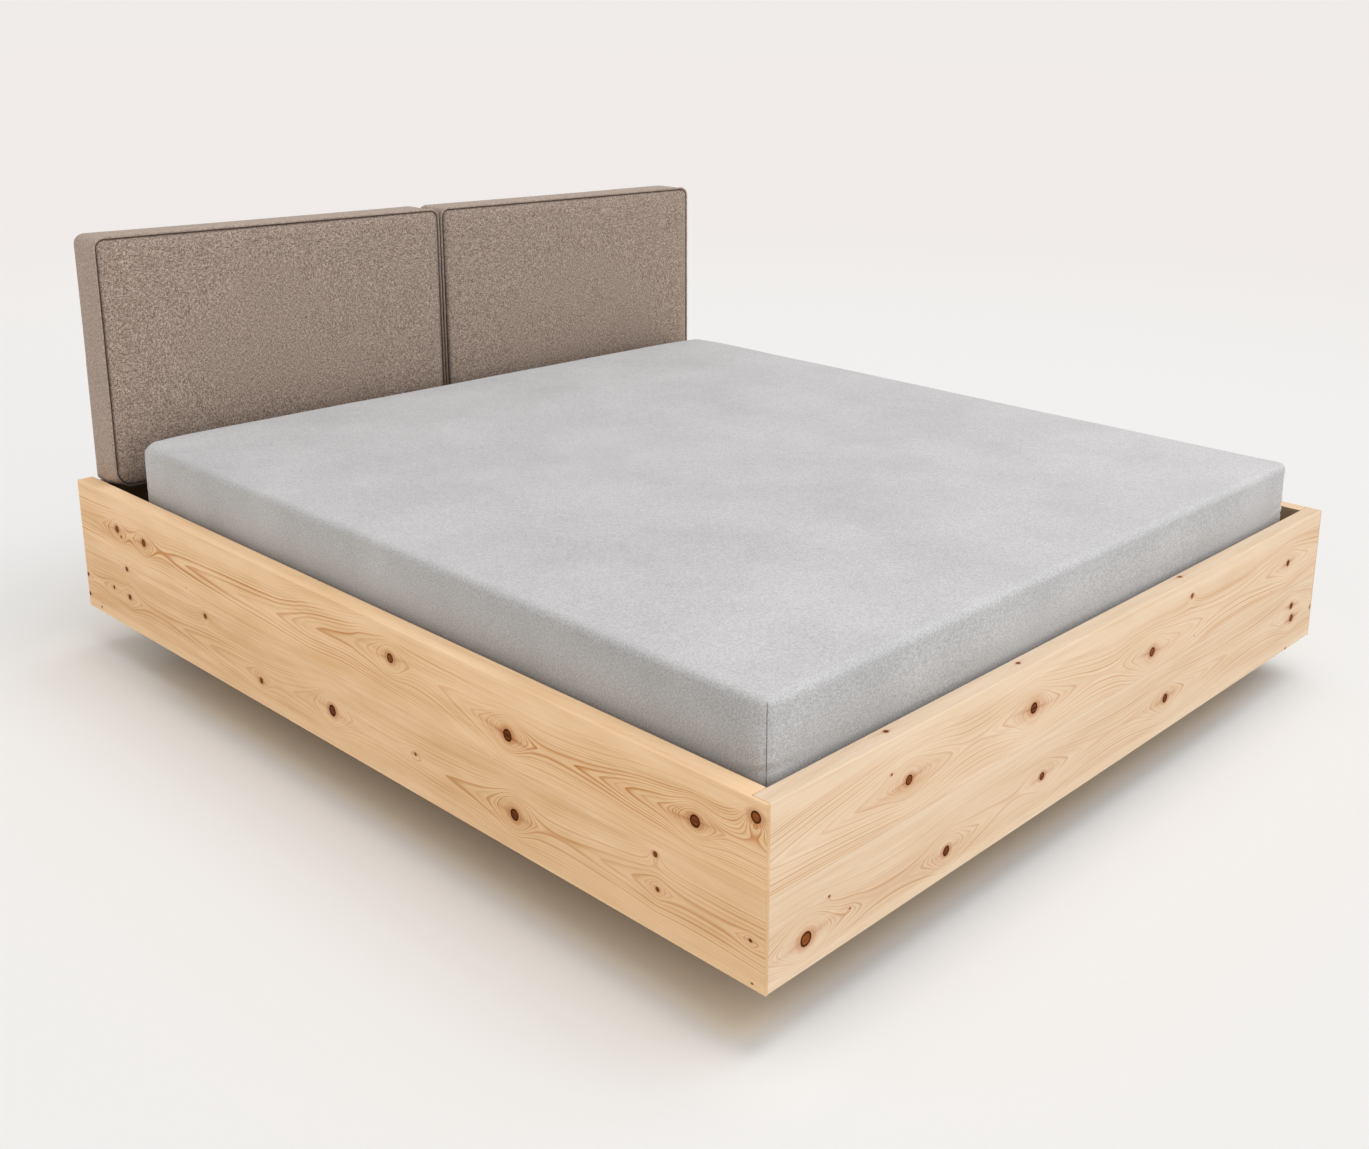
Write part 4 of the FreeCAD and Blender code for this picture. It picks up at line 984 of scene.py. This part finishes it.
def make_stage():
    mesh = bpy.data.meshes.new("floor")
    mesh.from_pydata([(-60, -60, 0), (60, -60, 0), (60, 60, 0), (-60, 60, 0)], [], [(0, 1, 2, 3)])
    floor = add_object("floor", mesh)
    net = material("pale_floor", roughness=0.9, level=0.0)
    spot = net.place()
    cloud = net.noise(spot, 0.5, 2.0)
    far = net.step(net.length(spot), 2.5, 9.0)
    x, y, _ = net.split(spot)
    apart = net.length(net.join(net.most(abs(x) - RAIL_OUT, 0.0), net.most(abs(y) - BED_END, 0.0)))
    colour = net.mix(cloud, tone(243, 243, 242), tone(244, 244, 243))
    # Painted light on the floor: a cooler tone near the bed offsets the warm light bounced off the wood, a
    # lighter tone beside the left rail lifts the shadow there, and a warm tint under the bed stands in for
    # light bounced off the wood
    colour = net.mix(net.step(apart, 0.50, 0.10), colour, tone(244, 245, 245))
    colour = net.mix(net.step(apart, 0.18, 0.06) * net.step(x, -0.8, -1.0), colour, tone(249, 249, 248))
    painted_warm_bounce = net.step(x, -1.010, -0.955) * net.step(x, 0.92, 0.60)
    painted_warm_bounce = painted_warm_bounce * net.step(y, -1.125, -1.050) * net.step(y, 1.00, 0.50)
    colour = net.mix(painted_warm_bounce, colour, tone(255, 246, 232))
    # Painted shadow: the floor is darkened along the rim of the shadow beside the left rail and the foot
    # board, so it fades softly
    left, foot = x + 0.978, y + 1.102
    rim = net.exp(left * left * -1100.0) * net.step(y, 0.9, 0.6) * net.step(y, -1.14, -1.10) * 0.13
    painted_foot_shadow_rim = net.exp(foot * foot * -1300.0) * net.step(x, 0.75, 0.45) * net.step(x, -1.0, -0.96) * 0.085
    colour = net.bright(colour, 1.0 - (rim + painted_foot_shadow_rim))
    mesh.materials.append(finish(net, net.mix(far, colour, tone(242, 238, 236))))
    world = bpy.data.worlds.new("studio")
    bpy.context.scene.world = world
    world.use_nodes = True
    net = Net(world.node_tree)
    back = world.node_tree.nodes["Background"]
    path = net.node("ShaderNodeLightPath")
    seen = net.most(Wire(net, path.outputs["Is Camera Ray"]), Wire(net, path.outputs["Is Glossy Ray"]))
    seen = net.most(seen, Wire(net, path.outputs["Is Transmission Ray"]))
    net.feed(back.inputs["Color"], net.mix(seen, (0.620, 0.585, 0.540, 1), tone(240, 236, 233)))
    back.inputs["Strength"].default_value = 1.0
    make_lamp("key", 1.25, 60, (0.27, -0.36, 1.35), (0.93, 1.0, 1.10))
    make_lamp("fill", 0.34, 22, (0.12, -1.0, 0.14), (1.0, 1.0, 1.0))


def dress(names, finish_with):
    """Gives CAD pieces their finish."""
    for name in names:
        made = nodes[name].data
        made.materials.clear()
        made.materials.append(finish_with)


make_camera()
make_stage()
knot = knot_group()
long_way, cross_way = (1, 2, 0), (0, 2, 1)
# For each board the last two numbers are the painted shade on its top faces and the painted shade on its
# inner face near its first end
dress(["left_side_rail"], board_wood(
    "pine_left_rail", long_way, BED_END, (-RAIL_OUT, 1.0), rail_knot_shares, rail_depth_shares,
    rail_heart_shares, (HONEY, HONEY_LATE), knot, 2.0, 1.0, 0.0, INNER_SHADE))
dress(["foot_board"], board_wood(
    "pine_foot_board", cross_way, RAIL_OUT, (-BED_END, 1.0), foot_knot_shares, foot_depth_shares,
    foot_heart_shares, (PALE, PALE_LATE), knot, 5.0, 0.82, 0.045, INNER_SHADE))
dress(["right_side_rail"], board_wood(
    "pine_right_rail", long_way, BED_END, (RAIL_OUT, -1.0), plain_knot_shares, plain_depth_shares,
    plain_heart_shares, (MIDDLE, MIDDLE_LATE), knot, 8.0, 1.0, 0.025, 0.60))
dress(["head_board"], board_wood(
    "pine_head_board", cross_way, RAIL_OUT, (BED_END, -1.0), plain_knot_shares[::2], plain_depth_shares,
    plain_heart_shares, (PALE, PALE_LATE), knot, 13.0, 0.9, 0.15, 0.88))
dress(SLATS, plain_wood("pine_slats", (0, 1, 2), tone(232, 204, 164), tone(198, 150, 100), 0.0035, 0.145))
dress(["left_slat_ledge", "right_slat_ledge", "centre_beam", "plinth_left_board", "plinth_right_board"],
      plain_wood("pine_long_battens", long_way, *BATTEN))
dress(["foot_traverse", "middle_traverse", "head_traverse", "plinth_foot_board", "plinth_head_board"],
      plain_wood("pine_cross_battens", cross_way, *BATTEN))
dress(["plinth_corner_blocks"], plain_wood("pine_blocks", (2, 0, 1), tone(226, 194, 150), tone(188, 138, 88)))
dress(["left_headboard_panel", "right_headboard_panel"], layered_board("plywood_panel"))
zinc = steel("zinc_sheet", tone(196, 198, 200), 0.42, 160.0)
dress(["left_foot_bracket", "right_foot_bracket", "right_head_bracket", "left_head_bracket", "foot_beam_shoe",
       "head_beam_shoe", "headboard_keepers", "left_headboard_tongues", "right_headboard_tongues"], zinc)
dress(["bracket_screws", "ledge_screws", "beam_shoe_screws", "left_tongue_screws", "right_tongue_screws",
       "keeper_screws"], steel("screw_zinc", tone(206, 200, 178), 0.32, 600.0))
dress(["corner_dowels"], dowel_wood("beech_dowel_wood"))
dress(["plinth_glides"], glide("glide_nylon"))

sheet_cloth = jersey("grey_jersey")
make_mattress(ticking("mattress_ticking_cloth"))
make_sheet(sheet_cloth)
cover = upholstery("taupe_cloth")
backing = lining_cloth("backing_cloth")
band = tape("slat_tape")
for side, low_x, high_x, seed in (("left", -PAD_OUT, -PAD_MIDDLE, 10), ("right", PAD_MIDDLE, PAD_OUT, 20)):
    body = side + "_headboard"
    make_pad(side + "_headboard_pad", low_x, high_x, body, cover, seed)
    make_welt(side + "_headboard_welt", low_x, high_x, body, cover, seed + 1)
    make_lining(side + "_headboard_lining_cloth", low_x + LINING_INSET, high_x - LINING_INSET, body,
                backing, seed + 2)
    make_strap(side + "_slat_tape", -STRAP_MIDDLE if side == "left" else STRAP_MIDDLE, band)

bpy.context.scene.view_settings.view_transform = "Standard"
